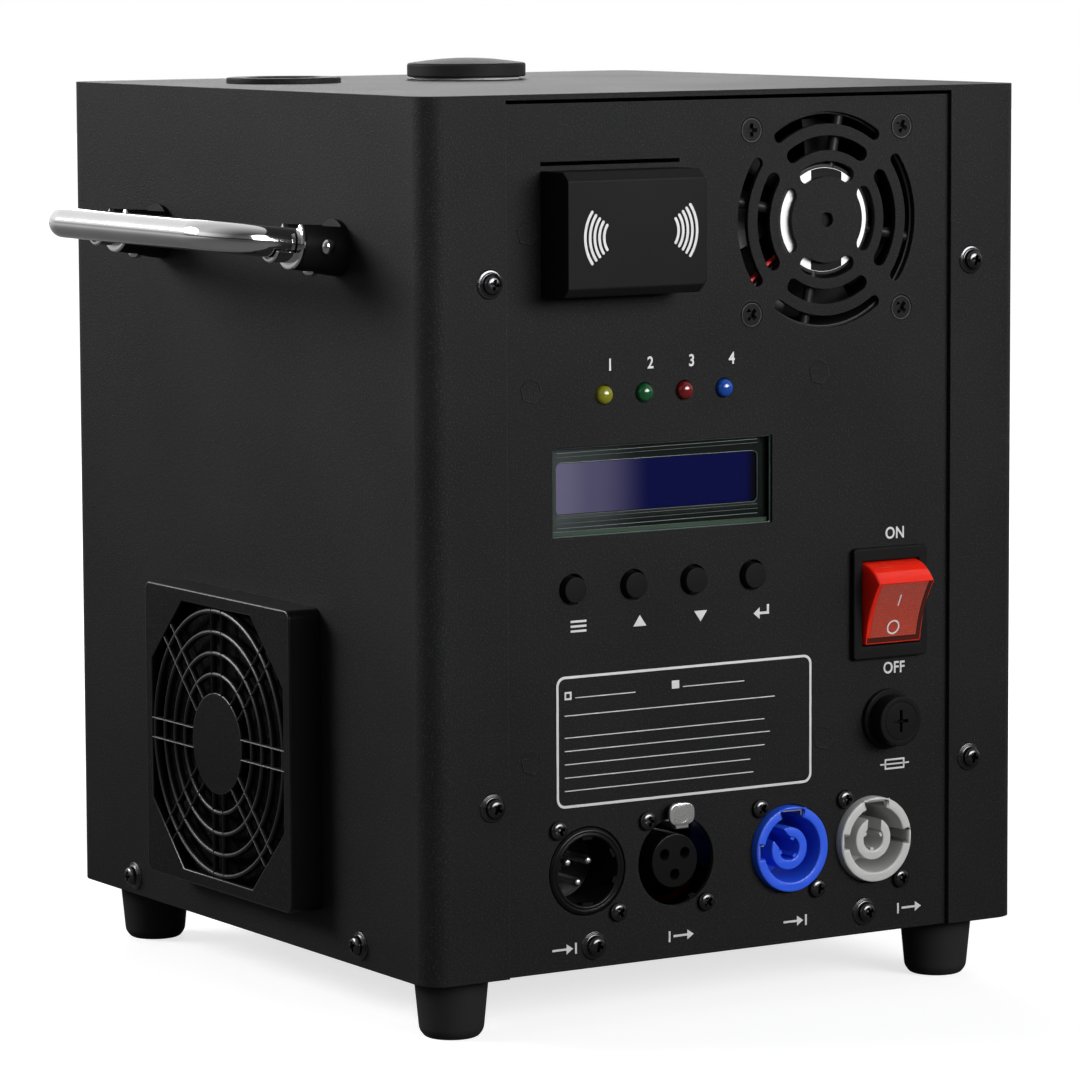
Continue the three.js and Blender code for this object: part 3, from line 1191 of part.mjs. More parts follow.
// Rocker switch body: bezel on the panel, and the box behind it with the well for the rocker.
function rockerBezel() {
  const [x, z] = [ROCKER_X, ROCKER_Z];
  const face = PANEL_FRONT - BEZEL_T;
  const back = PANEL_FRONT + BEZEL_BODY_D;
  const [w, h] = [BEZEL_BODY_W / 2, BEZEL_BODY_H / 2];
  const bezel = pushed('y', roundedRect(BEZEL_W, BEZEL_H, BEZEL_EDGE_R, x, z), face, PANEL_FRONT, 3);
  const body = box(x - w, x + w, face + SINK, back, z - h, z + h);
  const [ww, wh] = [ROCKER_WELL_W / 2, ROCKER_WELL_H / 2];
  const well = box(x - ww, x + ww, face - OVER, back - BEZEL_BACK_T, z - wh, z + wh);
  const pinCentre = new THREE.Vector3(0, PANEL_FRONT, z);
  const pinHole = rod('x', ROCKER_PIN_R + GAP, x - w - OVER, x + w + OVER, pinCentre);
  const [bw, bt] = [BLADE.w / 2, BLADE.t / 2];
  const blade = (at) => box(x - bw, x + bw, back - SINK, back + BLADE.length, at - bt, at + bt);
  const blades = [-1, 0, 1].map((step) => blade(z + step * BLADE.pitch));
  return join(cut(join(bezel, body), well, pinHole), ...blades);
}

// Rocker in its own frame: pivot along X through the origin, hollowed face towards -Y, and round
// ends that keep their distance from the well as the rocker tips.
function rockerButton() {
  const endR = Math.hypot(ROCKER_FACE, ROCKER_HALF);
  const edge = Math.atan2(ROCKER_FACE, ROCKER_HALF);
  const dishR = (ROCKER_HALF ** 2 + ROCKER_DISH ** 2) / (2 * ROCKER_DISH);
  const dishHalf = Math.asin(ROCKER_HALF / dishR);
  const dishCentre = -ROCKER_FACE + ROCKER_DISH - dishR;
  const shape = new THREE.Shape();
  shape.absarc(0, 0, endR, ROCKER_HEEL, -edge, true);
  shape.absarc(0, dishCentre, dishR, Math.PI / 2 - dishHalf, Math.PI / 2 + dishHalf, false);
  shape.absarc(0, 0, endR, Math.PI + edge, Math.PI - ROCKER_HEEL, true);
  const options = { depth: ROCKER_W, bevelEnabled: false, curveSegments: 4 };
  const geometry = new THREE.ExtrudeGeometry(shape, options);
  geometry.translate(0, 0, -ROCKER_W / 2).rotateY(-Math.PI / 2);
  const pinEnd = ROCKER_W / 2 + ROCKER_PIN_OUT;
  return join(solid(geometry), rod('x', ROCKER_PIN_R, -pinEnd, pinEnd, NONE));
}

// Panel fuse holder: flange, threaded body and the nut behind the panel.
function fuseHolder() {
  const flangeFace = PANEL_FRONT - FUSE_FLANGE_T;
  const end = PANEL_BACK + FUSE_BODY.length;
  const bore = PANEL_BACK + FUSE_BODY.bore;
  const nutR = FUSE_BODY_R + FUSE_BODY.nutW;
  const nutEnd = PANEL_BACK + FUSE_BODY.nutT;
  const profile = [
    [FUSE_BORE_R, flangeFace],
    [FUSE_FLANGE_R, flangeFace],
    [FUSE_FLANGE_R, PANEL_FRONT],
    [FUSE_BODY_R, PANEL_FRONT],
    [FUSE_BODY_R, PANEL_BACK],
    [nutR, PANEL_BACK],
    [nutR, nutEnd],
    [FUSE_BODY_R, nutEnd],
    [FUSE_BODY_R, end],
    [0, end],
    [0, bore],
    [FUSE_BORE_R, bore],
  ];
  return turned('y', profile, new THREE.Vector3(FUSE_X, 0, FUSE_Z));
}

// Fuse carrier: slotted cap with the stem that grips the fuse.
function fuseCarrier() {
  const seat = PANEL_FRONT - FUSE_FLANGE_T;
  const face = seat - FUSE_CAP_H;
  const end = PANEL_BACK + FUSE_BODY.stem;
  const profile = [
    [0, face],
    [FUSE_CAP_R - FUSE_CAP_EDGE, face],
    [FUSE_CAP_R, face + FUSE_CAP_EDGE],
    [FUSE_CAP_R, seat],
    [FUSE_STEM_R, seat],
    [FUSE_STEM_R, end],
    [0, end],
  ];
  const centre = new THREE.Vector3(FUSE_X, 0, FUSE_Z);
  const { long, half, depth } = FUSE_SLOT;
  const slots = [
    box(FUSE_X - long, FUSE_X + long, face - OVER, face + depth, FUSE_Z - half, FUSE_Z + half),
    box(FUSE_X - half, FUSE_X + half, face - OVER, face + depth, FUSE_Z - long, FUSE_Z + long),
  ];
  return cut(turned('y', profile, centre), ...slots);
}

// The flange that every round connector has behind the panel.
function connectorFlange(x) {
  const [w, h] = [CONN_FLANGE_W / 2, CONN_FLANGE_H / 2];
  return box(x - w, x + w, PANEL_BACK, PANEL_BACK + CONN_FLANGE_T, CONN_Z - h, CONN_Z + h);
}

// Turned connector shell round a bore, on its flange.
function connectorShell(x, face, boreR, floor, end) {
  const centre = new THREE.Vector3(x, 0, CONN_Z);
  const shell = turned('y', [
    [0, floor],
    [boreR, floor],
    [boreR, face],
    [CONN_BARREL_R - CONN_EDGE, face],
    [CONN_BARREL_R, face + CONN_EDGE],
    [CONN_BARREL_R, end],
    [0, end],
  ], centre);
  const bore = rod('y', boreR, face - OVER, floor, centre);
  return join(shell, cut(connectorFlange(x), bore));
}

// Three-pin male socket: open shell with three pins.
function xlrMale() {
  const face = PANEL_FRONT - CONN_PROUD;
  const floor = PANEL_FRONT + CONN_FLOOR;
  const shell = connectorShell(XLR_MALE_X, face, XLR_MALE.boreR, floor, floor + XLR_MALE.back);
  const pins = XLR_PIN_ANGLES.map((angle) => {
    const x = XLR_MALE_X + XLR_PIN_CIRCLE * Math.cos(angle);
    const z = CONN_Z + XLR_PIN_CIRCLE * Math.sin(angle);
    const tip = PANEL_FRONT + XLR_PIN_RECESS;
    return bar('y', XLR_PIN.tipR, XLR_PIN.r, tip, floor + SINK, new THREE.Vector3(x, 0, z));
  });
  return join(shell, ...pins);
}

// Three-hole female socket: shell, round insert and the channel for the latch.
function xlrFemale() {
  const face = PANEL_FRONT - CONN_PROUD;
  const floor = PANEL_FRONT + CONN_FLOOR;
  const x = XLR_FEMALE_X;
  const shell = connectorShell(x, face, XLR_FEMALE.boreR, floor, floor + XLR_FEMALE.back);
  const insertFace = PANEL_FRONT + XLR_FEMALE.insertDepth;
  const holes = XLR_PIN_ANGLES.map((angle) => {
    const holeX = x + XLR_PIN_CIRCLE * Math.cos(angle);
    const holeZ = CONN_Z + XLR_PIN_CIRCLE * Math.sin(angle);
    const end = insertFace + XLR_FEMALE.holeDepth;
    return rod('y', XLR_FEMALE.holeR, insertFace - OVER, end, new THREE.Vector3(holeX, 0, holeZ));
  });
  const centre = new THREE.Vector3(x, 0, CONN_Z);
  const insert = cut(rod('y', XLR_FEMALE.insertR, insertFace, floor + SINK, centre), ...holes);
  const { half, low, high, endGap } = XLR_CHANNEL;
  const channel = box(x - half, x + half, face - OVER, floor - endGap, CONN_Z + low, CONN_Z + high);
  return join(cut(shell, channel), insert);
}

// Push latch of the female socket: oval thumb tab and the tongue in the channel.
function xlrLatch() {
  const tabFace = PANEL_FRONT - LATCH.proud;
  const tabBack = tabFace + LATCH.t;
  const [x, z] = [XLR_FEMALE_X, CONN_Z + LATCH.rise];
  const foot = CONN_Z + LATCH.low;
  const tab = pushed('y', roundedRect(LATCH.w, LATCH.h, LATCH.edgeR, x, z), tabFace, tabBack, 4);
  const [x0, x1] = [x - LATCH.half, x + LATCH.half];
  const neck = box(x0, x1, tabFace, tabBack, foot, z);
  const tongue = box(x0, x1, tabFace, PANEL_FRONT + LATCH.reach, foot, foot + LATCH.tongueH);
  return join(tab, neck, tongue);
}

// Locking power socket: proud ring with key slots, each [angle, width], round a C-shaped core.
function powerSocket(x, gapAngle, keys) {
  const face = PANEL_FRONT - POWER.proud;
  const floor = PANEL_FRONT + POWER.floor;
  const centre = new THREE.Vector3(x, 0, CONN_Z);
  const shell = connectorShell(x, face, POWER.boreR, floor, floor + POWER.back);
  const notches = keys.map(([angle, width]) => {
    const notch = new THREE.BoxGeometry(POWER.keyReach, floor - face, width);
    notch.translate(POWER.keyMid, (face + floor) / 2 - POWER.keyStop, 0);
    return solid(notch.rotateY(-angle).translate(x, 0, CONN_Z));
  });
  const { r, boreR, setBack, gapW, gapOff } = POWER_CORE;
  const coreFace = face + setBack;
  const foot = floor + SINK;
  const core = turned('y', [[boreR, coreFace], [r, coreFace], [r, foot], [boreR, foot]], centre);
  const gap = new THREE.BoxGeometry(r, floor - coreFace, gapW);
  gap.translate(r / 2 + gapOff, (coreFace + floor) / 2 - POWER.keyStop, 0);
  gap.rotateY(-gapAngle).translate(x, 0, CONN_Z);
  return join(cut(shell, ...notches), cut(core, solid(gap)));
}

add('base_tray', baseTray(), 'powderCoat');
add('cover_shell', coverShell(), 'powderCoat');
add('control_panel', controlPanel(), 'powderCoat');
add('rear_panel', rearPanel(), 'powderCoat');

for (const [side, sx] of [['left', -1], ['right', 1]]) {
  for (const [end, sy] of [['front', -1], ['rear', 1]]) {
    add(`foot_${end}_${side}`, foot(), 'rubber').position.set(sx * FOOT_X, sy * FOOT_Y, 0);
  }
}

// The right handle is the left one turned half round the case.
for (const [side, sx] of [['left', -1], ['right', 1]]) {
  const wall = new THREE.Group();
  wall.position.set((sx * BODY_W) / 2, -sx * HANDLE_Y, HANDLE_Z);
  if (sx > 0) wall.rotation.z = Math.PI;
  machine.add(wall);
  const lean = new THREE.Group();
  lean.rotation.y = HANDLE_TILT;
  wall.add(lean);
  add(`handle_${side}`, handleRod(), 'chrome', lean).position.x = -PIVOT_OFF;
  for (const [end, sy] of [['front', -1], ['rear', 1]]) {
    const y = (sx < 0 ? sy : -sy) * (HANDLE_PITCH / 2);
    add(`handle_cup_${end}_${side}`, handleCup(), 'plastic', wall).position.y = y;
    add(`handle_liner_${end}_${side}`, handleLiner(), 'chrome', lean).position.y = y;
  }
}

const guard = new THREE.Group();
guard.position.set(0, SIDE_FAN_Y, SIDE_FAN_Z);
machine.add(guard);
add('guard_base', guardBase(), 'plastic', guard);
add('guard_filter', guardFilter(), 'foam', guard);
add('guard_cover', guardCover(), 'plastic', guard);

const sideFan = new THREE.Group();
sideFan.position.set(WALL_LEFT, SIDE_FAN_Y, SIDE_FAN_Z);
sideFan.rotation.y = Math.PI / 2;
machine.add(sideFan);
add('side_fan_frame', fanFrame(SIDE_FAN), 'fanPlastic', sideFan);
add('side_fan_rotor', fanRotor(SIDE_FAN, 7), 'fanPlastic', sideFan);

const panelFan = new THREE.Group();
panelFan.position.set(PANEL_FAN_X, PANEL_BACK + PANEL_FAN.depth, PANEL_FAN_Z);
panelFan.rotation.x = Math.PI / 2;
machine.add(panelFan);
add('panel_fan_frame', fanFrame(PANEL_FAN), 'fanPlastic', panelFan);
add('panel_fan_rotor', fanRotor(PANEL_FAN, 7), 'fanPlastic', panelFan);

add('head_bracket', headBracket(), 'steel');
add('blower_housing', blowerHousing(), 'fanPlastic');
add('blower_impeller', blowerImpeller(), 'fanPlastic');
add('heater_block', heaterBlock(), 'steel');
add('heater_jacket', heaterJacket(), 'wrap');
add('spark_outlet', sparkOutlet(), 'powderCoat');
add('auger_tube', augerTube(), 'aluminium');
add('feed_auger', feedAuger(), 'steel');
add('feed_motor', feedMotor(), 'steel');
add('hopper_funnel', hopperFunnel(), 'aluminium');
add('hopper_collar', hopperCollar(), 'plastic');
add('hopper_cap', hopperCap(), 'plastic');

add('power_supply', powerSupply(), 'aluminium');
add('main_board', mainBoard(), 'board');
add('control_board', controlBoard(), 'board');
add('lcd_frame', lcdFrame(), 'plastic');
add('lcd_glass', lcdGlass(), 'screen');
BUTTON_X.forEach((x, k) => add(`button_cap_${k + 1}`, buttonCap(x), 'plastic'));
['yellow', 'green', 'red', 'blue'].forEach((name, k) => add(`led_${name}`, lamp(LED_X[k]), `${name}Lens`));
add('remote_box', remoteBox(), 'plastic');
add('rocker_bezel', rockerBezel(), 'plastic');

const rocker = add('rocker', rockerButton(), 'redLens');
rocker.position.set(ROCKER_X, PANEL_FRONT, ROCKER_Z);
rocker.rotation.x = ROCKER_TILT;

add('fuse_holder', fuseHolder(), 'plastic');
add('fuse_carrier', fuseCarrier(), 'plastic');
add('xlr_male', xlrMale(), 'plastic');
add('xlr_female', xlrFemale(), 'plastic');
add('xlr_latch', xlrLatch(), 'chrome');
const [topKey, leftKey, rightKey] = [[Math.PI / 2, KEY_W.top], [Math.PI, KEY_W.left], [0, KEY_W.right]];
add('power_inlet', powerSocket(INLET_X, 0.73 * Math.PI, [topKey, leftKey]), 'inletBlue');
add('power_outlet', powerSocket(OUTLET_X, 0.47 * Math.PI, [topKey, leftKey, rightKey]), 'outletGrey');

export default machine;
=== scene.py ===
import bpy
import bmesh
import math
from mathutils import Matrix, Vector


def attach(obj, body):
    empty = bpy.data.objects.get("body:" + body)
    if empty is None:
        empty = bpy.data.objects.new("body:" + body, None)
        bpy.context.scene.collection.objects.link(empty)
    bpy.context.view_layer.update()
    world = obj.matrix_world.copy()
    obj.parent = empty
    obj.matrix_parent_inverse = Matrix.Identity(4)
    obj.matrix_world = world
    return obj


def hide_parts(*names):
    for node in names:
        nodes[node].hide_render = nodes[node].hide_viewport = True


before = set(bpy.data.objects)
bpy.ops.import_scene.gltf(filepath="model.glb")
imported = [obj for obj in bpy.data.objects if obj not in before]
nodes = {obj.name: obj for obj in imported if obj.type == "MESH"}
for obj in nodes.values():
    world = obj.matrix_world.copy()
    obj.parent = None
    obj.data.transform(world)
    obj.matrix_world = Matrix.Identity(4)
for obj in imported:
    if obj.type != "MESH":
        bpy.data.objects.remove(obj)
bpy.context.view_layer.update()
bpy.context.scene.view_settings.view_transform = "Standard"

# Case: a cover folded from one sheet of 1.5 mm steel, a folded floor, and flat front and rear plates.
# Every sheet is punched, folded and then coated with a fine-grained matt black powder that rounds its edges.
CASE_MIDDLE_Y, FOOT_H = 6, 17
BLOTCH_SCALE = 28


def at(x, y, z):
    """Millimetres from the middle of the case's floor, as a place in the part's frame."""
    return Vector((x / 1000, (y + CASE_MIDDLE_Y) / 1000, (z + FOOT_H) / 1000))


def node(tree, kind, values=None, feeds=None, **settings):
    """A new node of a tree, with its settings, the values of its sockets and what feeds them."""
    made = tree.nodes.new(kind)
    for name, value in settings.items():
        setattr(made, name, value)
    for socket, value in (values or {}).items():
        made.inputs[socket].default_value = value
    for socket, source in (feeds or {}).items():
        tree.links.new(source, made.inputs[socket])
    return made


def ramp(tree, feed, stops, blend="LINEAR"):
    """The colour that a ramp through (position, colour) stops gives what feeds it."""
    made = node(tree, "ShaderNodeValToRGB", feeds={"Fac": feed})
    made.color_ramp.interpolation = blend
    for element, (position, colour) in zip(made.color_ramp.elements, (stops[0], stops[-1])):
        element.position = position
        element.color = (*colour, 1)
    for position, colour in stops[1:-1]:
        made.color_ramp.elements.new(position).color = (*colour, 1)
    return made.outputs["Color"]


def finish(name, slot, colour, rough, metal=0.0, grain=0.0, depth=0.0, detail=3.0,
           speckle=0.0, blotch=0.0, swing=0.0, **sockets):
    """A finish with its shader. A grain, whose size is in mm, adds relief of a depth in mm, light speckles,
    slow blotches of colour and uneven gloss."""
    made = bpy.data.materials.new(name)
    made.use_nodes = True
    made["slot"] = slot
    tree = made.node_tree
    shader = tree.nodes["Principled BSDF"].inputs
    for socket, value in (("Base Color", (*colour, 1)), ("Roughness", rough), ("Metallic", metal),
                          *sockets.items()):
        shader[socket.replace("_", " ")].default_value = value
    if not grain:
        return made
    place = {"Vector": node(tree, "ShaderNodeTexCoord").outputs["Object"]}
    fine = node(tree, "ShaderNodeTexNoise", {"Scale": 1000 / grain, "Detail": detail}, place).outputs["Fac"]
    slow = node(tree, "ShaderNodeTexNoise", {"Scale": BLOTCH_SCALE, "Detail": 4}, place).outputs["Fac"]
    if depth:
        relief = node(tree, "ShaderNodeBump", {"Strength": 1, "Distance": depth / 1000}, {"Height": fine})
        tree.links.new(relief.outputs["Normal"], shader["Normal"])
    if swing:
        gloss = node(tree, "ShaderNodeMapRange", {"To Min": rough - swing, "To Max": rough + swing},
                     {"Value": slow})
        tree.links.new(gloss.outputs["Result"], shader["Roughness"])
    darker, lighter = ([min(1, c * share) for c in colour] for share in (1 - blotch, 1 + blotch))
    shade = ramp(tree, slow, [(0.3, darker), (0.7, lighter)])
    if speckle:
        dots = ramp(tree, fine, [(0.54, (0, 0, 0)), (0.7, (speckle, speckle, speckle))])
        shade = node(tree, "ShaderNodeMix", {"Factor": 1}, {6: shade, 7: dots},
                     data_type="RGBA", blend_type="ADD").outputs[2]
    tree.links.new(shade, shader["Base Color"])
    return made


powder = finish("powder coat", "powder_coat", (0.0125, 0.0125, 0.0128), 0.5, grain=0.5, depth=0.1, detail=2,
                speckle=0.014, blotch=0.1, swing=0.04, Specular_IOR_Level=0.035)


def linked(name, data):
    thing = bpy.data.objects.new(name, data)
    bpy.context.scene.collection.objects.link(thing)
    return thing


def closed(form, join=1e-6):
    """The bmesh as a mesh, with its doubles merged and its faces turned outwards."""
    if join:
        bmesh.ops.remove_doubles(form, verts=form.verts, dist=join)
    bmesh.ops.recalc_face_normals(form, faces=form.faces)
    mesh = bpy.data.meshes.new("form")
    form.to_mesh(mesh)
    form.free()
    return mesh


def even_shading(thing):
    even = thing.modifiers.new("even shading", "WEIGHTED_NORMAL")
    even.keep_sharp = True


def piece(name, form, made, body="machine", stands_for=(), sharp=35, even=False):
    """A finished piece from a bmesh or mesh: smooth where it is round, riding on its body."""
    mesh = closed(form) if isinstance(form, bmesh.types.BMesh) else form
    mesh.name = name
    mesh.materials.clear()
    mesh.materials.append(made)
    mesh.shade_smooth()
    mesh.set_sharp_from_angle(angle=math.radians(sharp))
    thing = linked(name, mesh)
    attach(thing, body)
    if stands_for:
        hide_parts(*stands_for)
    if even:
        even_shading(thing)
    return thing


def node_form(name):
    """The CAD node's own form, with its loose triangles joined."""
    form = bmesh.new()
    form.from_mesh(nodes[name].data)
    bmesh.ops.remove_doubles(form, verts=form.verts, dist=2e-6)
    return form


def eased_sheet(stands_for, name, made, body="machine", ease=0.25, fold=38):
    """The CAD node's own form with its flat faces joined up and its edges rounded by ease mm."""
    form = node_form(stands_for)
    bmesh.ops.dissolve_limit(form, angle_limit=math.radians(0.6), verts=form.verts, edges=form.edges)
    thing = piece(name, form, made, body, (stands_for,), fold)
    bevel = thing.modifiers.new("eased edges", "BEVEL")
    bevel.width = ease / 1000
    bevel.segments = 2
    bevel.limit_method = "ANGLE"
    bevel.angle_limit = math.radians(fold)
    even_shading(thing)


eased_sheet("cover_shell", "folded_cover", powder, ease=0.35)
eased_sheet("base_tray", "folded_floor", powder)
eased_sheet("rear_panel", "rear_plate", powder)

# Front plate: 1.5 mm steel, laser cut with the arc grille of the small fan, the display window and the
# sockets' openings. The openings are clean, so they are drawn as true curves and filled.
PANEL_FRONT, PANEL_T = -100, 1.5
FAN_X, FAN_Z, FAN_HALF_PITCH = 32, 199.4, 25
LAMP_X, LAMP_Z = {"yellow": -40.8, "green": -27.9, "red": -15, "blue": -2.1}, 155
BUTTON_X, BUTTON_Z = (-50.9, -31.53, -12.16, 7.21), 103.3
MALE_X, FEMALE_X, POWER_IN_X, POWER_OUT_X, SOCKET_Z = -46.5, -17.9, 19.1, 47.5, 26.6
ROCKER_X, ROCKER_Z, FUSE_X, FUSE_Z = 52.4, 92.8, 52.4, 60
QUARTER = math.pi / 2


def settled(thing, *helpers):
    """The evaluated mesh of a scratch object, which is removed with its helpers."""
    bpy.context.view_layer.update()
    mesh = bpy.data.meshes.new_from_object(thing.evaluated_get(bpy.context.evaluated_depsgraph_get()))
    for scrap in (thing, *helpers):
        bpy.data.objects.remove(scrap)
    return mesh


def drawn(lines, thickness, ease):
    """Closed lines in mm, filled and thickened into a flat mesh by Blender's own curve tools."""
    drawing = bpy.data.curves.new("drawing", "CURVE")
    drawing.dimensions = "2D"
    drawing.fill_mode = "BOTH"
    drawing.extrude = thickness / 2000 - ease / 1000
    drawing.bevel_depth = ease / 1000
    drawing.bevel_resolution = 2
    drawing.offset = -ease / 1000
    for points in lines:
        spline = drawing.splines.new("POLY")
        spline.points.add(len(points) - 1)
        for point, (x, z) in zip(spline.points, points):
            point.co = (x / 1000, z / 1000, 0, 1)
        spline.use_cyclic_u = True
    return settled(linked("drawing", drawing))


def standing(lines, thickness, ease, middle_y):
    """Lines in X and Z as a flat mesh that stands with its middle at middle_y mm."""
    mesh = drawn(lines, thickness, ease)
    mesh.transform(Matrix.Translation(at(0, middle_y, 0)) @ Matrix.Rotation(QUARTER, 4, "X"))
    return mesh


def arc(cx, cz, r, a0, a1, steps):
    return [(cx + r * math.cos(a0 + (a1 - a0) * k / steps), cz + r * math.sin(a0 + (a1 - a0) * k / steps))
            for k in range(steps + 1)]


def ring(cx, cz, r, steps=48):
    return arc(cx, cz, r, 0, 2 * math.pi, steps)[:-1]


def rectangle(x0, x1, z0, z1, r=0.0, left_r=None):
    """A rectangle whose corners are rounded by r, or those on its left by left_r."""
    if not r:
        return [(x0, z0), (x1, z0), (x1, z1), (x0, z1)]
    s = r if left_r is None else left_r
    corners = ((x1 - r, z1 - r, r), (x0 + s, z1 - s, s), (x0 + s, z0 + s, s), (x1 - r, z0 + r, r))
    return [spot for k, (x, z, corner_r) in enumerate(corners)
            for spot in arc(x, z, corner_r, k * QUARTER, (k + 1) * QUARTER, 6)]


def block(x, z, half_w, half_h, r=0.0):
    return rectangle(x - half_w, x + half_w, z - half_h, z + half_h, r)


def arc_slot(cx, cz, r_in, r_out, middle, span):
    """A curved slot with round ends."""
    end, mid = (r_out - r_in) / 2, (r_out + r_in) / 2
    half = span - end / mid
    a0, a1 = middle - half, middle + half

    def round_end(a, start):
        return arc(cx + mid * math.cos(a), cz + mid * math.sin(a), end, start, start + math.pi, 8)[1:-1]

    return (arc(cx, cz, r_out, a0, a1, 24) + round_end(a1, a1)
            + arc(cx, cz, r_in, a1, a0, 24) + round_end(a0, a0 + math.pi))


fan_corners = [(FAN_X + dx, FAN_Z + dz) for dx in (-FAN_HALF_PITCH, FAN_HALF_PITCH)
               for dz in (-FAN_HALF_PITCH, FAN_HALF_PITCH)]
openings = [arc_slot(FAN_X, FAN_Z, r_in, r_out, quarter * QUARTER, math.radians(38))
            for r_in, r_out in ((26.3, 29.5), (19, 23), (11.8, 16)) for quarter in range(4)]
openings += [ring(FAN_X, FAN_Z, 2, 24)] + [ring(x, z, 3.5) for x, z in fan_corners]
openings += [rectangle(-57, 13.8, 117.2, 141.3, 0.4), rectangle(-60.4, -16.4, 216.5, 217.5)]
openings += [block(ROCKER_X, ROCKER_Z, 11.3, 14, 0.5), ring(FUSE_X, FUSE_Z, 6.5)]
openings += [ring(x, LAMP_Z, 2.7, 32) for x in LAMP_X.values()]
openings += [ring(x, BUTTON_Z, 4.2, 40) for x in BUTTON_X]
openings += [ring(x, SOCKET_Z, 12.2) for x in (MALE_X, FEMALE_X, POWER_IN_X, POWER_OUT_X)]
plate = standing([rectangle(-89.5, 89.5, 0, 233)] + openings, PANEL_T, 0.18, PANEL_FRONT + PANEL_T / 2)
piece("front_plate", plate, powder, stands_for=("control_panel",), even=True)

# Clinch studs: steel posts pressed into the front plate from behind to carry the board. Their six-sided
# heads stand a hair proud under the powder coat.
FRONT_OUT, REAR_OUT, LEFT_OUT, RIGHT_OUT, UPWARD = (0, -1, 0), (0, 1, 0), (-1, 0, 0), (1, 0, 0), (0, 0, 1)
POST = [(-12, 0), (-12, 2.6), (-1, 2.6), (-1, 0)]
STUD_HEAD = [(-0.5, 0), (-0.5, 3.7), (0.02, 3.6), (0.17, 3.4), (0.17, 3.2), (0.05, 2.9), (0.05, 0)]


def turn(form, profile, centre, axis, sides=56, ease=0.25):
    """Adds a body turned round an axis through centre. Its profile is a line of (along, radius) in mm, whose
    corners are eased."""
    looped = profile[0] == profile[-1]
    points = profile[:-1] if looped else profile
    line = []
    for k, (a, r) in enumerate(points):
        here = Vector((a, r))
        before, after = Vector(points[k - 1]), Vector(points[(k + 1) % len(points)])
        reach = min(ease, (before - here).length * 0.45, (after - here).length * 0.45)
        if reach < 0.02 or r == 0 or (not looped and k in (0, len(points) - 1)):
            line.append((a, r))
            continue
        start = here + (before - here).normalized() * reach
        end = here + (after - here).normalized() * reach
        line += [tuple(start * (1 - t) ** 2 + here * 2 * t * (1 - t) + end * t ** 2)
                 for t in (0, 0.33, 0.67, 1)]
    if looped:
        line.append(line[0])
    axis = Vector(axis).normalized()
    side = axis.orthogonal().normalized()
    third = axis.cross(side)
    rays = [side * math.cos(t) + third * math.sin(t)
            for t in (2 * math.pi * k / sides for k in range(sides))]
    rows = []
    for a, r in line:
        middle = Vector(centre) + axis * a / 1000
        rows.append([form.verts.new(middle + ray * r / 1000) for ray in (rays if r >= 1e-6 else rays[:1])])
    for low, high in zip(rows, rows[1:]):
        for k in range(sides):
            n = (k + 1) % sides
            corners = [low[k % len(low)], low[n % len(low)], high[n % len(high)], high[k % len(high)]]
            corners = list(dict.fromkeys(corners))
            if len(corners) > 2:
                form.faces.new(corners)
    return form


posts = bmesh.new()
for x, z in ((-64, 157.2), (29.8, 157.6), (-64, 57.5), (30.4, 56.4)):
    turn(posts, POST, at(x, PANEL_FRONT, z), FRONT_OUT, 24)
for x, z in ((-64.5, 198.9), (-63.7, 157), (29.4, 157.7), (-64.1, 57.6), (30.6, 56.4)):
    turn(posts, STUD_HEAD, at(x, PANEL_FRONT, z), FRONT_OUT, 6, 0.05)
piece("clinch_studs", posts, powder)

# Feet: four tapered bumpers moulded of black rubber, with a washer recess in the sole. Each is held by one
# screw through the case's floor.
rubber = finish("black rubber", "rubber", (0.019, 0.019, 0.019), 0.6, grain=0.8, depth=0.03, blotch=0.15,
                swing=0.08, Specular_IOR_Level=0.06)
BUMPER = [(0, 0), (0, 10.2), (-15.0, 8.75), (-17, 7.3), (-17, 3.4), (-11, 3.4), (-11, 0)]
for depth_name, foot_y in (("front", -85), ("rear", 85)):
    for side_name, foot_x in (("left", -80.5), ("right", 80.5)):
        label = f"{depth_name}_{side_name}"
        piece(f"rubber_foot_{label}", turn(bmesh.new(), BUMPER, at(foot_x, foot_y, 0), UPWARD, 64, 0.9),
              rubber, stands_for=(f"foot_{label}",), even=True)

# Carrying handles: a bent chrome-plated rod on each side. Its legs go into black plastic cups that lean up
# from the wall, and swing there on riveted cross pins; a chrome liner in each cup stops the leg from below.
chrome = finish("polished chrome", "chrome", (0.75, 0.75, 0.76), 0.09, 1.0, grain=3.0, depth=0.004,
                blotch=0.05, swing=0.035)
moulded = finish("moulded black plastic", "black_plastic", (0.009, 0.009, 0.0093), 0.42, grain=0.35,
                 depth=0.025, blotch=0.1, swing=0.05, Specular_IOR_Level=0.04)
WALL_X, HANDLE_Y, HANDLE_Z, HANDLE_HALF = 97, -5.3, 194.2, 50.2
ROD_R, BEND_R, BEND_STEPS, LEAN = 4.2, 13, 18, math.radians(6.5)
PIVOT, REACH, TAIL, STRAIGHT = 7, 29, 1.6, 4
CUP_FOOT = [(-0.9, 0), (-0.9, 7.7), (2.3, 7.6), (2.3, 0)]
CUP_WALL = [(2.0, 5.6), (2.0, 7.6), (13.1, 6.85), (13.5, 6.5), (13.5, 5.6)]
CUP_GAP, CUP_OUTER_R, CUP_STEPS = 4.5, 6.8, 44
LINER_LIP = [(13.5, 4.75), (13.5, 6.8), (14.1, 7.1), (14.6, 6.9), (14.8, 6.2), (14.8, 4.75)]
LINER_TROUGH = [(3.2, 4.75), (3.2, 5.3), (19.6, 5.3), (20.4, 5.6), (20.8, 5.3), (20.8, 4.75)]
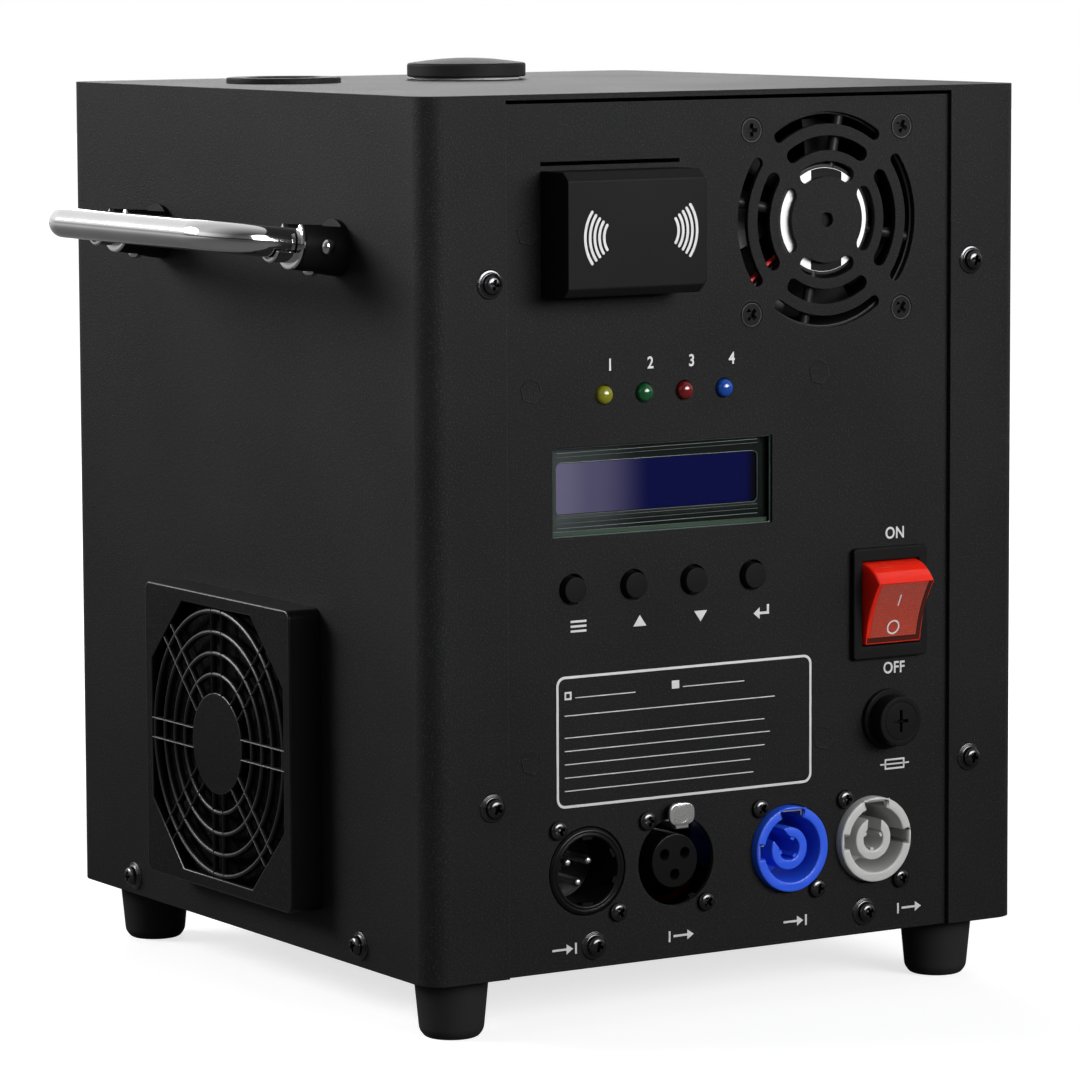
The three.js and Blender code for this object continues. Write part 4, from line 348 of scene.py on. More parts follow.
TROUGH_SIDE, TROUGH_STEPS = 0.48, 24
PIN, PIN_OUT = [(-7.7, 0), (-7.7, 1.6), (0.1, 1.6), (0.1, 0)], 7.6


def skin(form, rows):
    """Faces of a body between closed rows of vertices, and over its two ends."""
    count = len(rows[0])
    for low, high in zip(rows, rows[1:]):
        for k in range(count):
            n = (k + 1) % count
            form.faces.new([low[k], low[n], high[n], high[k]])
    form.faces.new(rows[0][::-1])
    form.faces.new(rows[-1])
    return form


def sweep(form, path, r, sides=40):
    """Adds a round bar of radius r mm along points in metres, with flat closed ends."""
    rows, normal = [], None
    for k, here in enumerate(path):
        ahead = (path[min(k + 1, len(path) - 1)] - path[max(k - 1, 0)]).normalized()
        if normal is None:
            normal = ahead.orthogonal().normalized()
        normal = (normal - ahead * normal.dot(ahead)).normalized()
        other = ahead.cross(normal)
        rows.append([form.verts.new(here + (normal * math.cos(t) + other * math.sin(t)) * r / 1000)
                     for t in (2 * math.pi * n / sides for n in range(sides))])
    return skin(form, rows)


def leaning(side, out, across, upward=0):
    """A place by a handle's own directions: out along the leaning cup from the wall, across in Y, up square
    to it."""
    flat = out * math.cos(LEAN) - upward * math.sin(LEAN)
    rise = out * math.sin(LEAN) + upward * math.cos(LEAN)
    return at(side * (WALL_X + flat), -side * HANDLE_Y + across, HANDLE_Z + rise)


def rounded(along, rise, r, steps, inner=0.0, first=0):
    """Profile points of a quarter round that rises while its radius shrinks from r to inner."""
    return [(along + rise * math.sin(t), inner + (r - inner) * math.cos(t))
            for t in (QUARTER * k / steps for k in range(first, steps))]


def dome(form, base, axis, r, h):
    """Adds a rivet head: a low cap of radius r and height h mm on base."""
    return turn(form, [(-0.4, 0), (-0.4, r)] + rounded(0, h, r, 8) + [(h, 0)], base, axis, 32, 0)


def part_ring(form, root, out_dir, up_dir, profile, start, end, steps):
    """Adds a profile of (out, radius) in mm swept round out_dir from one angle to another."""
    rows = []
    for t in (start + (end - start) * k / steps for k in range(steps + 1)):
        ray = Vector((0, 1, 0)) * math.cos(t) + up_dir * math.sin(t)
        rows.append([form.verts.new(root + (out_dir * out + ray * r) / 1000) for out, r in profile])
    return skin(form, rows)


inner_half = HANDLE_HALF - BEND_R
half_bail = [(PIVOT - TAIL, -HANDLE_HALF), (PIVOT + STRAIGHT, -HANDLE_HALF)]
half_bail += [(PIVOT + REACH - BEND_R * (1 - math.sin(t)), -inner_half - BEND_R * math.cos(t))
              for t in (QUARTER * k / BEND_STEPS for k in range(BEND_STEPS + 1))]
whole_bail = half_bail + [(PIVOT + REACH, 0)] + [(out, -across) for out, across in half_bail[::-1]]
opening = math.asin(CUP_GAP / CUP_OUTER_R)
cup_span = (QUARTER + opening, 5 * QUARTER - opening, CUP_STEPS)
trough_span = (math.pi + TROUGH_SIDE, 2 * math.pi - TROUGH_SIDE, TROUGH_STEPS)
for side_name, side in (("left", -1), ("right", 1)):
    out_dir = (leaning(side, 1, 0) - leaning(side, 0, 0)).normalized()
    up_dir = (leaning(side, 0, 0, 1) - leaning(side, 0, 0)).normalized()
    bail = sweep(bmesh.new(), [leaning(side, out, across) for out, across in whole_bail], ROD_R, 48)
    for end in (-1, 1):
        for way in (-1, 1):
            head = leaning(side, PIVOT, end * HANDLE_HALF + way * PIN_OUT)
            turn(bail, PIN, head, (0, way, 0), 24)
            dome(bail, head, (0, way, 0), 2.1, 1.3)
    piece(f"chrome_bail_{side_name}", bail, chrome, f"handle_{side_name}", (f"handle_{side_name}",),
          even=True)
    for end_name, end in (("front", -1), ("rear", 1)):
        label = f"{end_name}_{side_name}"
        root = leaning(side, 0, end * HANDLE_HALF)
        cup = turn(bmesh.new(), CUP_FOOT, root, out_dir, 64, 0.1)
        part_ring(cup, root, out_dir, up_dir, CUP_WALL, *cup_span)
        piece(f"handle_socket_{label}", cup, moulded, stands_for=(f"handle_cup_{label}",), even=True)
        liner = part_ring(bmesh.new(), root, out_dir, up_dir, LINER_LIP, *cup_span)
        part_ring(liner, root, out_dir, up_dir, LINER_TROUGH, *trough_span)
        piece(f"handle_liner_sleeve_{label}", liner, chrome, stands_for=(f"handle_liner_{label}",),
              even=True)
        rivet = dome(bmesh.new(), root + out_dir * 0.0075 - up_dir * 0.0071, -up_dir, 2.0, 1.2)
        piece(f"handle_rivet_{label}", rivet, chrome)

# Fan guard: a clip-on moulded cover with a ring-and-bar grille over a sheet of open-cell filter foam, on a
# flat base plate round the intake hole. The bars and rings are round on their outer side, as the mould
# leaves them.
GUARD_OUT, GUARD_Y, GUARD_Z, GUARD_HALF = -107, -3, 53.9, 41.65
GUARD_WALL, GUARD_FACE_T, GUARD_DEPTH, SKIRT_BACK = 1.6, 1.8, 8.5, 1.2
BAR_PAIRS, BAR_HALF_PITCH, BAR_IN, BAR_OUT, BAR_W, BAR_H = 8, 2.8, 13.8, 40.5, 1.0, 1.7
HOOPS = (37.1, 31.2, 25.3, 19.4)
HOOP = [(-1.8, -0.7), (-0.75, -0.7), (-0.3, -0.5), (-0.12, 0), (-0.3, 0.5), (-0.75, 0.7), (-1.8, 0.7),
        (-1.8, -0.7)]
GUARD_HUB = [(-1.8, 0), (-1.8, 14.3), (-0.2, 14.3), (-0.2, 0)]
FACE_TURN, FACE_AREA = 0.985, 3e-6
foam = finish("filter foam", "foam", (0.0035, 0.0035, 0.0035), 1.0, grain=1.1, depth=0.7, detail=6,
              speckle=0.008, blotch=0.2, Specular_IOR_Level=0.02)
guard_plastic = finish("textured guard plastic", "black_plastic", (0.0065, 0.0065, 0.0067), 0.3, grain=0.6,
                       depth=0.02, blotch=0.1, swing=0.05, Specular_IOR_Level=0.3)
spark_textured = finish("spark-textured face", "black_plastic", (0.0085, 0.0085, 0.0087), 0.55, grain=0.6,
                        depth=0.06, speckle=0.012, blotch=0.1, swing=0.05, Specular_IOR_Level=0.02)


def side_plate(lines, thickness, ease, outer_x):
    """Lines in Y and Z about the guard's middle as a flat mesh with its outer face at outer_x mm."""
    mesh = drawn(lines, thickness, ease)
    mesh.transform(Matrix.Translation(at(outer_x + thickness / 2, GUARD_Y, GUARD_Z))
                   @ Matrix.Rotation(QUARTER, 4, "Z") @ Matrix.Rotation(QUARTER, 4, "X"))
    return mesh


def octagon(half, corner):
    return [(half, -corner), (half, corner), (corner, half), (-corner, half),
            (-half, corner), (-half, -corner), (-corner, -half), (corner, -half)]


def add_mesh(form, mesh):
    form.from_mesh(mesh)
    bpy.data.meshes.remove(mesh)
    return form


def instancer(name, made, **inputs):
    """A Geometry Nodes tree with named inputs. It sets instances on points, makes them real and gives them
    their finish. Returns the tree, its inputs' identifiers, their outputs in the tree, and the instancing
    node's inputs."""
    tree = bpy.data.node_groups.new(name, "GeometryNodeTree")
    add_socket = tree.interface.new_socket
    keys = {label: add_socket(label, in_out="INPUT", socket_type=f"NodeSocket{kind}").identifier
            for label, kind in inputs.items()}
    add_socket("Result", in_out="OUTPUT", socket_type="NodeSocketGeometry")
    into = node(tree, "NodeGroupInput").outputs
    placed = node(tree, "GeometryNodeInstanceOnPoints")
    real = node(tree, "GeometryNodeRealizeInstances", feeds={0: placed.outputs[0]})
    paint = node(tree, "GeometryNodeSetMaterial", {"Material": made}, {"Geometry": real.outputs[0]})
    node(tree, "NodeGroupOutput", feeds={0: paint.outputs[0]})
    return tree, keys, into, placed.inputs


def grown(holder, tree, keys, *helpers, **values):
    """The plain mesh that a tree makes of a scratch object, its inputs set by their identifiers."""
    setting = holder.modifiers.new(tree.name, "NODES")
    setting.node_group = tree
    for label, value in values.items():
        setting[keys[label]] = value
    return settled(holder, *helpers)


def repeated(name, form, made, count, axis, centre):
    """Geometry Nodes repeats a form about an axis at equal steps and gives back one plain mesh."""
    tree, keys, into, placed = instancer(name, made, Form="Geometry", Count="Int", Step="Float",
                                         Axis="Vector", Centre="Vector")
    home = node(tree, "ShaderNodeVectorMath", {"Scale": -1}, {0: into["Centre"]}, operation="SCALE")
    moved = node(tree, "GeometryNodeTransform", None,
                 {"Geometry": into["Form"], "Translation": home.outputs[0]})
    spots = node(tree, "GeometryNodePoints", None, {"Count": into["Count"], "Position": into["Centre"]})
    number = node(tree, "GeometryNodeInputIndex")
    angle = node(tree, "ShaderNodeMath", None, {0: number.outputs[0], 1: into["Step"]}, operation="MULTIPLY")
    spin = node(tree, "FunctionNodeAxisAngleToRotation", None,
                {"Axis": into["Axis"], "Angle": angle.outputs[0]})
    for socket, source in (("Points", spots), ("Instance", moved), ("Rotation", spin)):
        tree.links.new(source.outputs[0], placed[socket])
    return grown(linked(name, closed(form, 0)), tree, keys, Count=count, Step=2 * math.pi / count,
                 Axis=tuple(axis), Centre=tuple(centre))


def strip(form, a, b, across, outward, w, h):
    """Adds a bar from a to b, w mm wide, whose outer side is a half round standing h mm high."""
    side = across.normalized() * w / 2000
    lift = outward.normalized() * h / 1000
    section = [(-1, 0), (-1, 0.45), (-0.8, 0.75), (-0.4, 0.95), (0, 1), (0.4, 0.95), (0.8, 0.75),
               (1, 0.45), (1, 0)]
    return skin(form, [[form.verts.new(end + side * s + lift * u) for s, u in section] for end in (a, b)])


guard_middle = at(GUARD_OUT, GUARD_Y, GUARD_Z)
guard_edge = block(0, 0, GUARD_HALF, GUARD_HALF, 2.5)
skirt_inside = block(0, 0, GUARD_HALF - GUARD_WALL, GUARD_HALF - GUARD_WALL, 1.2)
guard_form = add_mesh(bmesh.new(),
                      side_plate([guard_edge, octagon(38, 19.9)], GUARD_FACE_T, 0.45, GUARD_OUT))
add_mesh(guard_form, side_plate([guard_edge, skirt_inside], GUARD_DEPTH, 0.04, GUARD_OUT + SKIRT_BACK))
bar_pair = bmesh.new()
for offset in (-BAR_HALF_PITCH, BAR_HALF_PITCH):
    foot, tip = (guard_middle + Vector((GUARD_FACE_T, offset, reach)) / 1000 for reach in (BAR_IN, BAR_OUT))
    strip(bar_pair, foot, tip, Vector((0, 1, 0)), Vector(LEFT_OUT), BAR_W, BAR_H)
add_mesh(guard_form, repeated("grille bars", bar_pair, guard_plastic, BAR_PAIRS, RIGHT_OUT, guard_middle))
for hoop_r in HOOPS:
    turn(guard_form, [(out, hoop_r + r) for out, r in HOOP], guard_middle, LEFT_OUT, 96, 0.1)
turn(guard_form, GUARD_HUB, guard_middle, LEFT_OUT, 72, 0.4)
guard = piece("guard_grille_cover", guard_form, guard_plastic, "guard_cover", ("guard_cover",), 40,
              even=True)
guard.data.materials.append(spark_textured)
for flat in guard.data.polygons:
    if abs(flat.normal.x) > FACE_TURN and flat.area > FACE_AREA:
        flat.material_index = 1
eased_sheet("guard_base", "guard_base_plate", guard_plastic, ease=0.2)
piece("filter_foam", node_form("guard_filter"), foam, stands_for=("guard_filter",))

# Fans: a large intake fan behind the guard and a small one behind the arc grille, each a square moulded
# frame with a bladed rotor. The small one blows inwards, so its struts and the paper label on its motor face
# the grille.
fan_plastic = finish("fan moulding", "black_plastic", (0.008, 0.008, 0.0085), 0.38, grain=0.9, depth=0.02,
                     blotch=0.12, swing=0.06, Specular_IOR_Level=0.2)
label_paper = finish("white label", "black_plastic", (0.78, 0.78, 0.77), 0.45, grain=0.6, depth=0.004,
                     blotch=0.02)
label_ink = finish("black label ink", "black_plastic", (0.006, 0.006, 0.006), 0.45, grain=0.6, depth=0.004,
                   blotch=0.05, Specular_IOR_Level=0.06)
wire_red = finish("red wire sleeve", "rocker_red", (0.55, 0.015, 0.012), 0.4, grain=1.2, depth=0.01,
                  blotch=0.08)
wire_black = finish("black wire sleeve", "rubber", (0.012, 0.012, 0.012), 0.42, grain=1.2, depth=0.01,
                    blotch=0.08)
SMALL_FAN_HALF, SMALL_FAN_DEPTH = 30, 20
BLADES, BLADE_ROWS, BLADE_COLUMNS, BLADE_T, ROTOR_FRONT = 7, 7, 9, 1.1, 2
MOTOR_SEAT, LABEL_R = [(-3, 0), (-3, 15.3), (-0.4, 15.3), (-0.4, 0)], 14.25
STRUT_IN, STRUT_OUT, STRUT_BACK, STRUT_W, STRUT_H = 13.5, 29.2, 2.2, 3.0, 1.9
BAND_R, BAND_FROM, BAND_TO, BAND_T = 14.15, math.radians(65), math.radians(107), 0.06


def fan_rotor(name, body, centre, axis, hub, tip, bottom):
    """Hub with twisted blades repeated round it; axis points from the intake face to the motor side."""
    axis, top = Vector(axis), ROTOR_FRONT
    hub_line = [(top, 0), (top, hub - 1), (top + 1.5, hub), (bottom, hub), (bottom, 1.5),
                (bottom + 2.4, 1.5), (bottom + 2.4, 0)]
    form = turn(bmesh.new(), hub_line, centre, axis, 64, 0.5)
    side = axis.orthogonal().normalized()
    third = axis.cross(side)
    blade, rows = bmesh.new(), []
    for share in (i / (BLADE_ROWS - 1) for i in range(BLADE_ROWS)):
        r = (hub - 1) + (tip - hub + 1) * share
        half, twist = 0.40 - 0.06 * share, 0.62 - 0.18 * share
        row = []
        for u in (-1 + 2 * j / (BLADE_COLUMNS - 1) for j in range(BLADE_COLUMNS)):
            angle = u * half + 0.10 * share
            rise = (top + bottom) / 2 + math.sin(twist) * u * half * r + 1.1 * (1 - u * u)
            rise = min(max(rise, top + 0.5), bottom - 0.4)
            ray = side * math.cos(angle) + third * math.sin(angle)
            row.append(blade.verts.new(centre + (ray * r + axis * rise) / 1000))
        rows.append(row)
    faces = [blade.faces.new([low[j], low[j + 1], high[j + 1], high[j]])
             for low, high in zip(rows, rows[1:]) for j in range(BLADE_COLUMNS - 1)]
    bmesh.ops.solidify(blade, geom=faces, thickness=BLADE_T / 1000)
    add_mesh(form, repeated(f"{name} blades", blade, fan_plastic, BLADES, axis, centre))
    piece(name, form, fan_plastic, body, (body,), 40)


eased_sheet("side_fan_frame", "side_fan_housing", fan_plastic, ease=0.3)
fan_rotor("side_fan_wheel", "side_fan_rotor", at(-95.5, GUARD_Y, GUARD_Z), RIGHT_OUT, 17, 36.4, 21.6)
fan_front = PANEL_FRONT + PANEL_T
small_fan_back = at(FAN_X, fan_front + SMALL_FAN_DEPTH, FAN_Z)
fan_rotor("panel_fan_wheel", "panel_fan_rotor", small_fan_back, FRONT_OUT, 14, 27.4, 16.6)
fan_lines = [block(FAN_X, FAN_Z, SMALL_FAN_HALF, SMALL_FAN_HALF, 4), ring(FAN_X, FAN_Z, 28.8, 96)]
fan_lines += [ring(x, z, 2, 24) for x, z in fan_corners]
housing = add_mesh(bmesh.new(), standing(fan_lines, SMALL_FAN_DEPTH, 0.3, fan_front + SMALL_FAN_DEPTH / 2))
motor_face = at(FAN_X, fan_front, FAN_Z)
turn(housing, MOTOR_SEAT, motor_face, FRONT_OUT, 72, 0.4)
for k in range(4):
    angle = 0.2 + k * 1.57
    ray = Vector((math.cos(angle), 0, -math.sin(angle)))
    ends = [motor_face + (ray * reach - Vector(FRONT_OUT) * STRUT_BACK) / 1000
            for reach in (STRUT_IN, STRUT_OUT)]
    strip(housing, *ends, ray.cross(Vector(FRONT_OUT)), Vector(FRONT_OUT), STRUT_W, STRUT_H)
piece("panel_fan_housing", housing, fan_plastic, stands_for=("panel_fan_frame",), sharp=40, even=True)
label_line = [(-0.42, 0), (-0.42, LABEL_R), (-0.3, LABEL_R), (-0.3, 0)]
piece("fan_label", turn(bmesh.new(), label_line, motor_face, FRONT_OUT, 72, 0), label_paper)
band = arc(FAN_X, FAN_Z, BAND_R, BAND_FROM, BAND_TO, 16)
band += arc(FAN_X, FAN_Z, BAND_R, -BAND_TO, -BAND_FROM, 16)
piece("fan_label_band", standing([band], BAND_T, 0.01, fan_front + 0.24), label_ink)


def smooth_path(points, steps=8):
    """Points in mm joined by one soft curve."""
    spots = [at(*p) for p in points]
    spots = [spots[0]] + spots + [spots[-1]]
    path = []
    for a, b, c, d in zip(spots, spots[1:], spots[2:], spots[3:]):
        for t in (k / steps for k in range(steps)):
            path.append(0.5 * ((2 * b) + (c - a) * t + (2 * a - 5 * b + 4 * c - d) * t ** 2
                               + (3 * b - a - 3 * c + d) * t ** 3))
    return path + [spots[-1]]


FAN_LEAD = ((-13, -95.5, -9), (-20, -96.6, -13.5), (-26, -95.8, -19.5), (-28.5, -91, -26), (-33, -84, -32))
for label, made, drop in (("red", wire_red, 0), ("black", wire_black, -2.2)):
    path = smooth_path([(FAN_X + dx, y, FAN_Z + dz + drop) for dx, y, dz in FAN_LEAD])
    piece(f"fan_lead_{label}", sweep(bmesh.new(), path, 0.65, 12), made)

# Receiver box of the hand remote: a short length of moulded box section stuck on the panel over the slot for
# its lead. Its long edges slope at the top and at the foot. Plain wave marks are screen printed on its face.
BOX_LEFT, BOX_RIGHT, BOX_LOW, BOX_HIGH, BOX_FACE = -60.4, -16.4, 182.2, 215.2, -113.5
BOX_SLOPE = ((PANEL_FRONT, 0, 0), (-110.9, 0, 0), (-111.15, 0.12, 0.02), (-113.3, 2.05, 0.1),
             (-113.45, 2.3, 0.22), (BOX_FACE, 2.65, 0.45))
INK = 0.05
white_print = finish("white print", "powder_coat", (0.56, 0.56, 0.56), 0.6, grain=0.35, depth=0.01,
                     blotch=0.03, swing=0.05, Specular_IOR_Level=0.2)


def stacked(form, rows):
    """Adds a closed body through outlines of equal length, each drawn in X and Z at its own depth y, in
    mm."""
    return skin(form, [[form.verts.new(at(x, y, z)) for x, z in points] for points, y in rows])


def pushed(form, points, y0, y1):
    return stacked(form, [(points, y0), (points, y1)])


receiver_rows = []
for y, inset, side in BOX_SLOPE:
    left, right = BOX_LEFT + side, BOX_RIGHT - side * 1.6
    receiver_rows.append((rectangle(left, right, BOX_LOW + inset, BOX_HIGH - inset, 1.5, 0.35), y))
piece("receiver_box", stacked(bmesh.new(), receiver_rows), moulded, stands_for=("remote_box",), sharp=24,
      even=True)
waves = [arc_slot(x, z, r - 0.4, r + 0.4, facing, math.radians(37.5))
         for x, z, facing in ((-43.4, 197.9, math.pi), (-31.5, 199.0, 0))
         for r in (5.8, 7.28, 8.75, 10.2, 11.7)]
piece("receiver_wave_marks", standing(waves, INK, 0.01, BOX_FACE - INK / 2), white_print)

# Lamps: four 5 mm domed lenses of tinted diffusing resin, each cast round a small pale chip. They are pushed
# through the panel from behind up to their collars.
LENS = [(-2.5, 0), (-2.5, 3), (-1.5, 3), (-1.5, 2.5), (0.35, 2.5)]
LENS += rounded(0.35, 1.85, 2.5, 9, first=1) + [(2.2, 0)]
CHIP = [(-2.2, 0), (-2.2, 1.6), (-0.9, 1.6), (-0.5, 0.9), (-0.5, 0)]
TINTS = {"yellow": (0.21, 0.21, 0.008), "green": (0.003, 0.075, 0.02), "red": (0.13, 0.003, 0.004),
         "blue": (0.004, 0.06, 0.34)}
for tint, lamp_x in LAMP_X.items():
    resin = finish(f"{tint} lens", f"lens_{tint}", TINTS[tint], 0.16, grain=1.6, depth=0.01, blotch=0.12,
                   Transmission_Weight=0.25, IOR=1.5, Coat_Weight=0.5)
    spot = at(lamp_x, PANEL_FRONT, LAMP_Z)
    piece(f"lamp_{tint}", turn(bmesh.new(), LENS, spot, FRONT_OUT, 40, 0), resin,
          stands_for=(f"led_{tint}",), sharp=50)
    piece(f"lamp_core_{tint}", turn(bmesh.new(), CHIP, spot, FRONT_OUT, 24, 0.1), label_paper)

# Display: a character module behind the window. A folded black bezel and a dark rim under clear acrylic
# surround the blue glass. The rim and the glass are paler at their left ends, where a reflection is painted
# into their colour. Nothing is shown while it is off.
BEZEL_FACE, BEZEL_T, GLASS_T = -97.4, 8.8, 1.4
SHADE_FROM, SHADE_TO, PALE_MIX, RIGHT_END_BLACK = -60, 20, 0.62, (0.001, 0.001, 0.0015)
FOLD_LINES = ((139.7, 140.2, 0.22), (138.6, 139.2, 0.12), (119.5, 119.9, 0.22), (120.8, 121.2, 0.12),
              (122.2, 122.4, 0.1))


def paler_end(made, pale, deep, pale_x, deep_x, dark_x=None):
    """Painted reflection: colour that goes from a pale left end to a deep one, and to black at the right
    end.
    """
    tree = made.node_tree
    place = node(tree, "ShaderNodeTexCoord").outputs["Object"]
    split = node(tree, "ShaderNodeSeparateXYZ", None, {0: place})
    share = node(tree, "ShaderNodeMapRange", {"From Min": SHADE_FROM / 1000, "From Max": SHADE_TO / 1000},
                 {"Value": split.outputs["X"]})
    between = tuple(p * PALE_MIX + d * (1 - PALE_MIX) for p, d in zip(pale, deep))
    stops = [(pale_x, pale), (pale_x * PALE_MIX + deep_x * (1 - PALE_MIX), between), (deep_x, deep)]
    if dark_x:
        stops += [(dark_x - 4, deep), (dark_x, RIGHT_END_BLACK)]
    stops = [((x - SHADE_FROM) / (SHADE_TO - SHADE_FROM), shade) for x, shade in stops]
    colour = ramp(tree, share.outputs["Result"], stops, "EASE")
    tree.links.new(colour, tree.nodes["Principled BSDF"].inputs["Base Color"])
    return made


# The pale left ends of the rim and the glass are a painted reflection, not backlight.
rim_glass = paler_end(finish("smoked rim", "screen_glass", (0.008, 0.011, 0.010), 0.12),
                      (0.034, 0.043, 0.042), (0.003, 0.005, 0.0045), -55, -26)
blue_glass = paler_end(finish("blue display glass", "screen_glass", (0.01, 0.01, 0.1), 0.1,
                              Specular_IOR_Level=0.2),
                       (0.1, 0.092, 0.155), (0.0024, 0.0032, 0.04), -53, -24, 10.2)
# The fold lines, the glass outline and the window edge in this lighter colour are partly the cut edges' own
# tone and partly painted highlights.
edge_tone_and_highlight = finish("cut acrylic edge and painted highlight", "screen_glass", (0.05, 0.07, 0.065), 0.25, grain=1.5, depth=0.01,
                    blotch=0.25)
solder_green = finish("green board", "circuit_board", (0.003, 0.022, 0.009), 0.35, grain=2.2, depth=0.03,
                      blotch=0.35)
bezel_lines = [rectangle(-59, 15.8, 115.2, 143.3, 0.6), rectangle(-54.5, 10.3, 123.2, 137, 1.2)]
bezel_form = add_mesh(bmesh.new(), standing(bezel_lines, BEZEL_T, 0.1, BEZEL_FACE + BEZEL_T / 2))
piece("display_bezel", bezel_form, rim_glass, stands_for=("lcd_frame",))
glass = standing([rectangle(-54.4, 10.2, 123.3, 136.9, 1.1)], GLASS_T, 0.05, BEZEL_FACE + 0.9)
piece("display_glass", glass, blue_glass, stands_for=("lcd_glass",))
folds = bmesh.new()
for z0, z1, w in FOLD_LINES:
    ends = (at(-54.2, BEZEL_FACE, z0), at(10.6, BEZEL_FACE, z1))
    strip(folds, *ends, Vector(UPWARD), Vector(FRONT_OUT), w, 0.12)
glass_outline = [rectangle(-54.6, 10.6, 123, 137.2, 1.6), rectangle(-54.45, 10.45, 123.15, 137.05, 1.45)]
piece("display_folds", add_mesh(folds, standing(glass_outline, 0.14, 0.02, BEZEL_FACE - 0.05)), edge_tone_and_highlight)
window_edge = [rectangle(-56.95, 13.75, 117.25, 141.25, 0.4), rectangle(-56.6, 13.45, 117.6, 141.0, 0.3)]
piece("display_window_edge", standing(window_edge, 0.5, 0.05, -98.9), edge_tone_and_highlight)
piece("display_board_edge", standing([rectangle(-56.6, 13.45, 117.6, 118.7)], 0.4, 0.05, -97.8),
      solder_green)

# Push buttons: four caps moulded of black plastic, with a collar that keeps them behind the panel. They
# slide in its holes and press the switches of the board behind it.
BUTTON = [(-7.5, 0), (-7.5, 2), (-2.7, 2), (-2.7, 4.95), (-1.55, 4.95), (-1.55, 3.5), (1.9, 3.5), (2, 0)]
for number, button_x in enumerate(BUTTON_X, 1):
    cap = turn(bmesh.new(), BUTTON, at(button_x, PANEL_FRONT, BUTTON_Z), FRONT_OUT, 48, 0.35)
    piece(f"push_button_{number}", cap, moulded, f"button_{number}", (f"button_cap_{number}",), even=True)

# Rocker switch: a snap-in body with a bezel, and a hollow-faced rocker of tinted see-through plastic on two
# pins. Its face has a fine staggered texture and the printed I and O; it rests tipped to O, with its top end
# out.
ROCKER_W, FACE_OUT, FACE_HALF, DISH, TILT, HEEL = 18.5, 6.7, 9.4, 1.1, math.radians(21), math.radians(25)
END_R = math.hypot(FACE_OUT, FACE_HALF)
DISH_R = (FACE_HALF ** 2 + DISH ** 2) / (2 * DISH)
FACE_STEPS, HEEL_STEPS, SIDE_EASE, SHEET_BACK, SHEET_STEPS = 22, 10, 0.35, -0.2, 24
ROCKER_PIN = [(-2, 0), (-2, 1.3), (1.1, 1.3), (1.1, 0)]
tinted_red = finish("tinted red plastic", "rocker_red", (0.85, 0.02, 0.006), 0.16, grain=2.5, depth=0.01,
                    blotch=0.12, Subsurface_Weight=0.6, Subsurface_Scale=0.005)
smoke_red = finish("dark tinted edge", "rocker_red", (0.055, 0.010, 0.007), 0.12, grain=2.0, depth=0.01,
                   blotch=0.15)
textured_red = finish("textured red face", "rocker_red", (0.42, 0.05, 0.03), 0.32)
red_tree = textured_red.node_tree
red_shader = red_tree.nodes["Principled BSDF"].inputs
cell_place = node(red_tree, "ShaderNodeMapping", {"Rotation": (QUARTER, 0, 0)},
                  {"Vector": node(red_tree, "ShaderNodeTexCoord").outputs["Object"]})
cells = node(red_tree, "ShaderNodeTexBrick",
             {"Scale": 1000, "Brick Width": 0.8, "Row Height": 0.62, "Mortar Size": 0.1,
              "Mortar Smooth": 0.6, "Color1": (0.46, 0.07, 0.04, 1), "Color2": (0.40, 0.05, 0.03, 1),
              "Mortar": (0.25, 0.018, 0.010, 1)},
             {"Vector": cell_place.outputs["Vector"]}, offset=0.5)
cell_relief = node(red_tree, "ShaderNodeBump", {"Strength": 0.6, "Distance": 0.0002},
                   {"Height": cells.outputs["Fac"]})
red_tree.links.new(cells.outputs["Color"], red_shader["Base Color"])
red_tree.links.new(cell_relief.outputs["Normal"], red_shader["Normal"])


def rocker_place(x, out, rise):
    """A place on the rocker by its own directions, turned to its rest."""
    return at(ROCKER_X + x, PANEL_FRONT - out * math.cos(TILT) - rise * math.sin(TILT),
              ROCKER_Z + rise * math.cos(TILT) - out * math.sin(TILT))


def rocker_face(rise, lift=0.0):
    """How far the hollow face stands out at a height, in mm."""
    return FACE_OUT - DISH + DISH_R - math.sqrt(DISH_R ** 2 - rise ** 2) + lift


def rocker_section():
    """The rocker seen from its side: the hollow face, and a round end down to the heel and back up."""
    edge = math.atan2(FACE_OUT, FACE_HALF)
    rises = [FACE_HALF - 2 * FACE_HALF * k / FACE_STEPS for k in range(FACE_STEPS + 1)]
    down = [edge - (HEEL + edge) * k / HEEL_STEPS for k in range(1, HEEL_STEPS + 1)]
    back_up = [(edge + HEEL) * k / HEEL_STEPS - HEEL for k in range(HEEL_STEPS)]
    return ([(rocker_face(rise), rise) for rise in rises]
            + [(END_R * math.sin(a), -END_R * math.cos(a)) for a in down]
            + [(END_R * math.sin(a), END_R * math.cos(a)) for a in back_up])


def across_rocker(form, section, half, ease):
    """Adds the section pushed across the rocker's width, its two sides eased."""
    spots = [Vector(spot) for spot in section]
    middle = sum(spots, Vector((0, 0))) / len(spots)
    rows = []
    for x, inset in ((-half, ease), (-half + ease, 0), (half - ease, 0), (half, ease)):
        shrunk = [middle + (spot - middle) * (1 - inset / (spot - middle).length) for spot in spots]
        rows.append([form.verts.new(rocker_place(x, *spot)) for spot in shrunk])
    return skin(form, rows)


def face_sheet(name, made, left, right, low, high, lift):
    """A thin sheet that follows the hollow face."""
    form = bmesh.new()
    edges = ((left, lift), (right, lift), (right, SHEET_BACK), (left, SHEET_BACK))
    rises = [low + (high - low) * k / SHEET_STEPS for k in range(SHEET_STEPS + 1)]
    skin(form, [[form.verts.new(rocker_place(x, rocker_face(rise, out), rise)) for x, out in edges]
                for rise in rises])
    piece(name, form, made, "rocker")


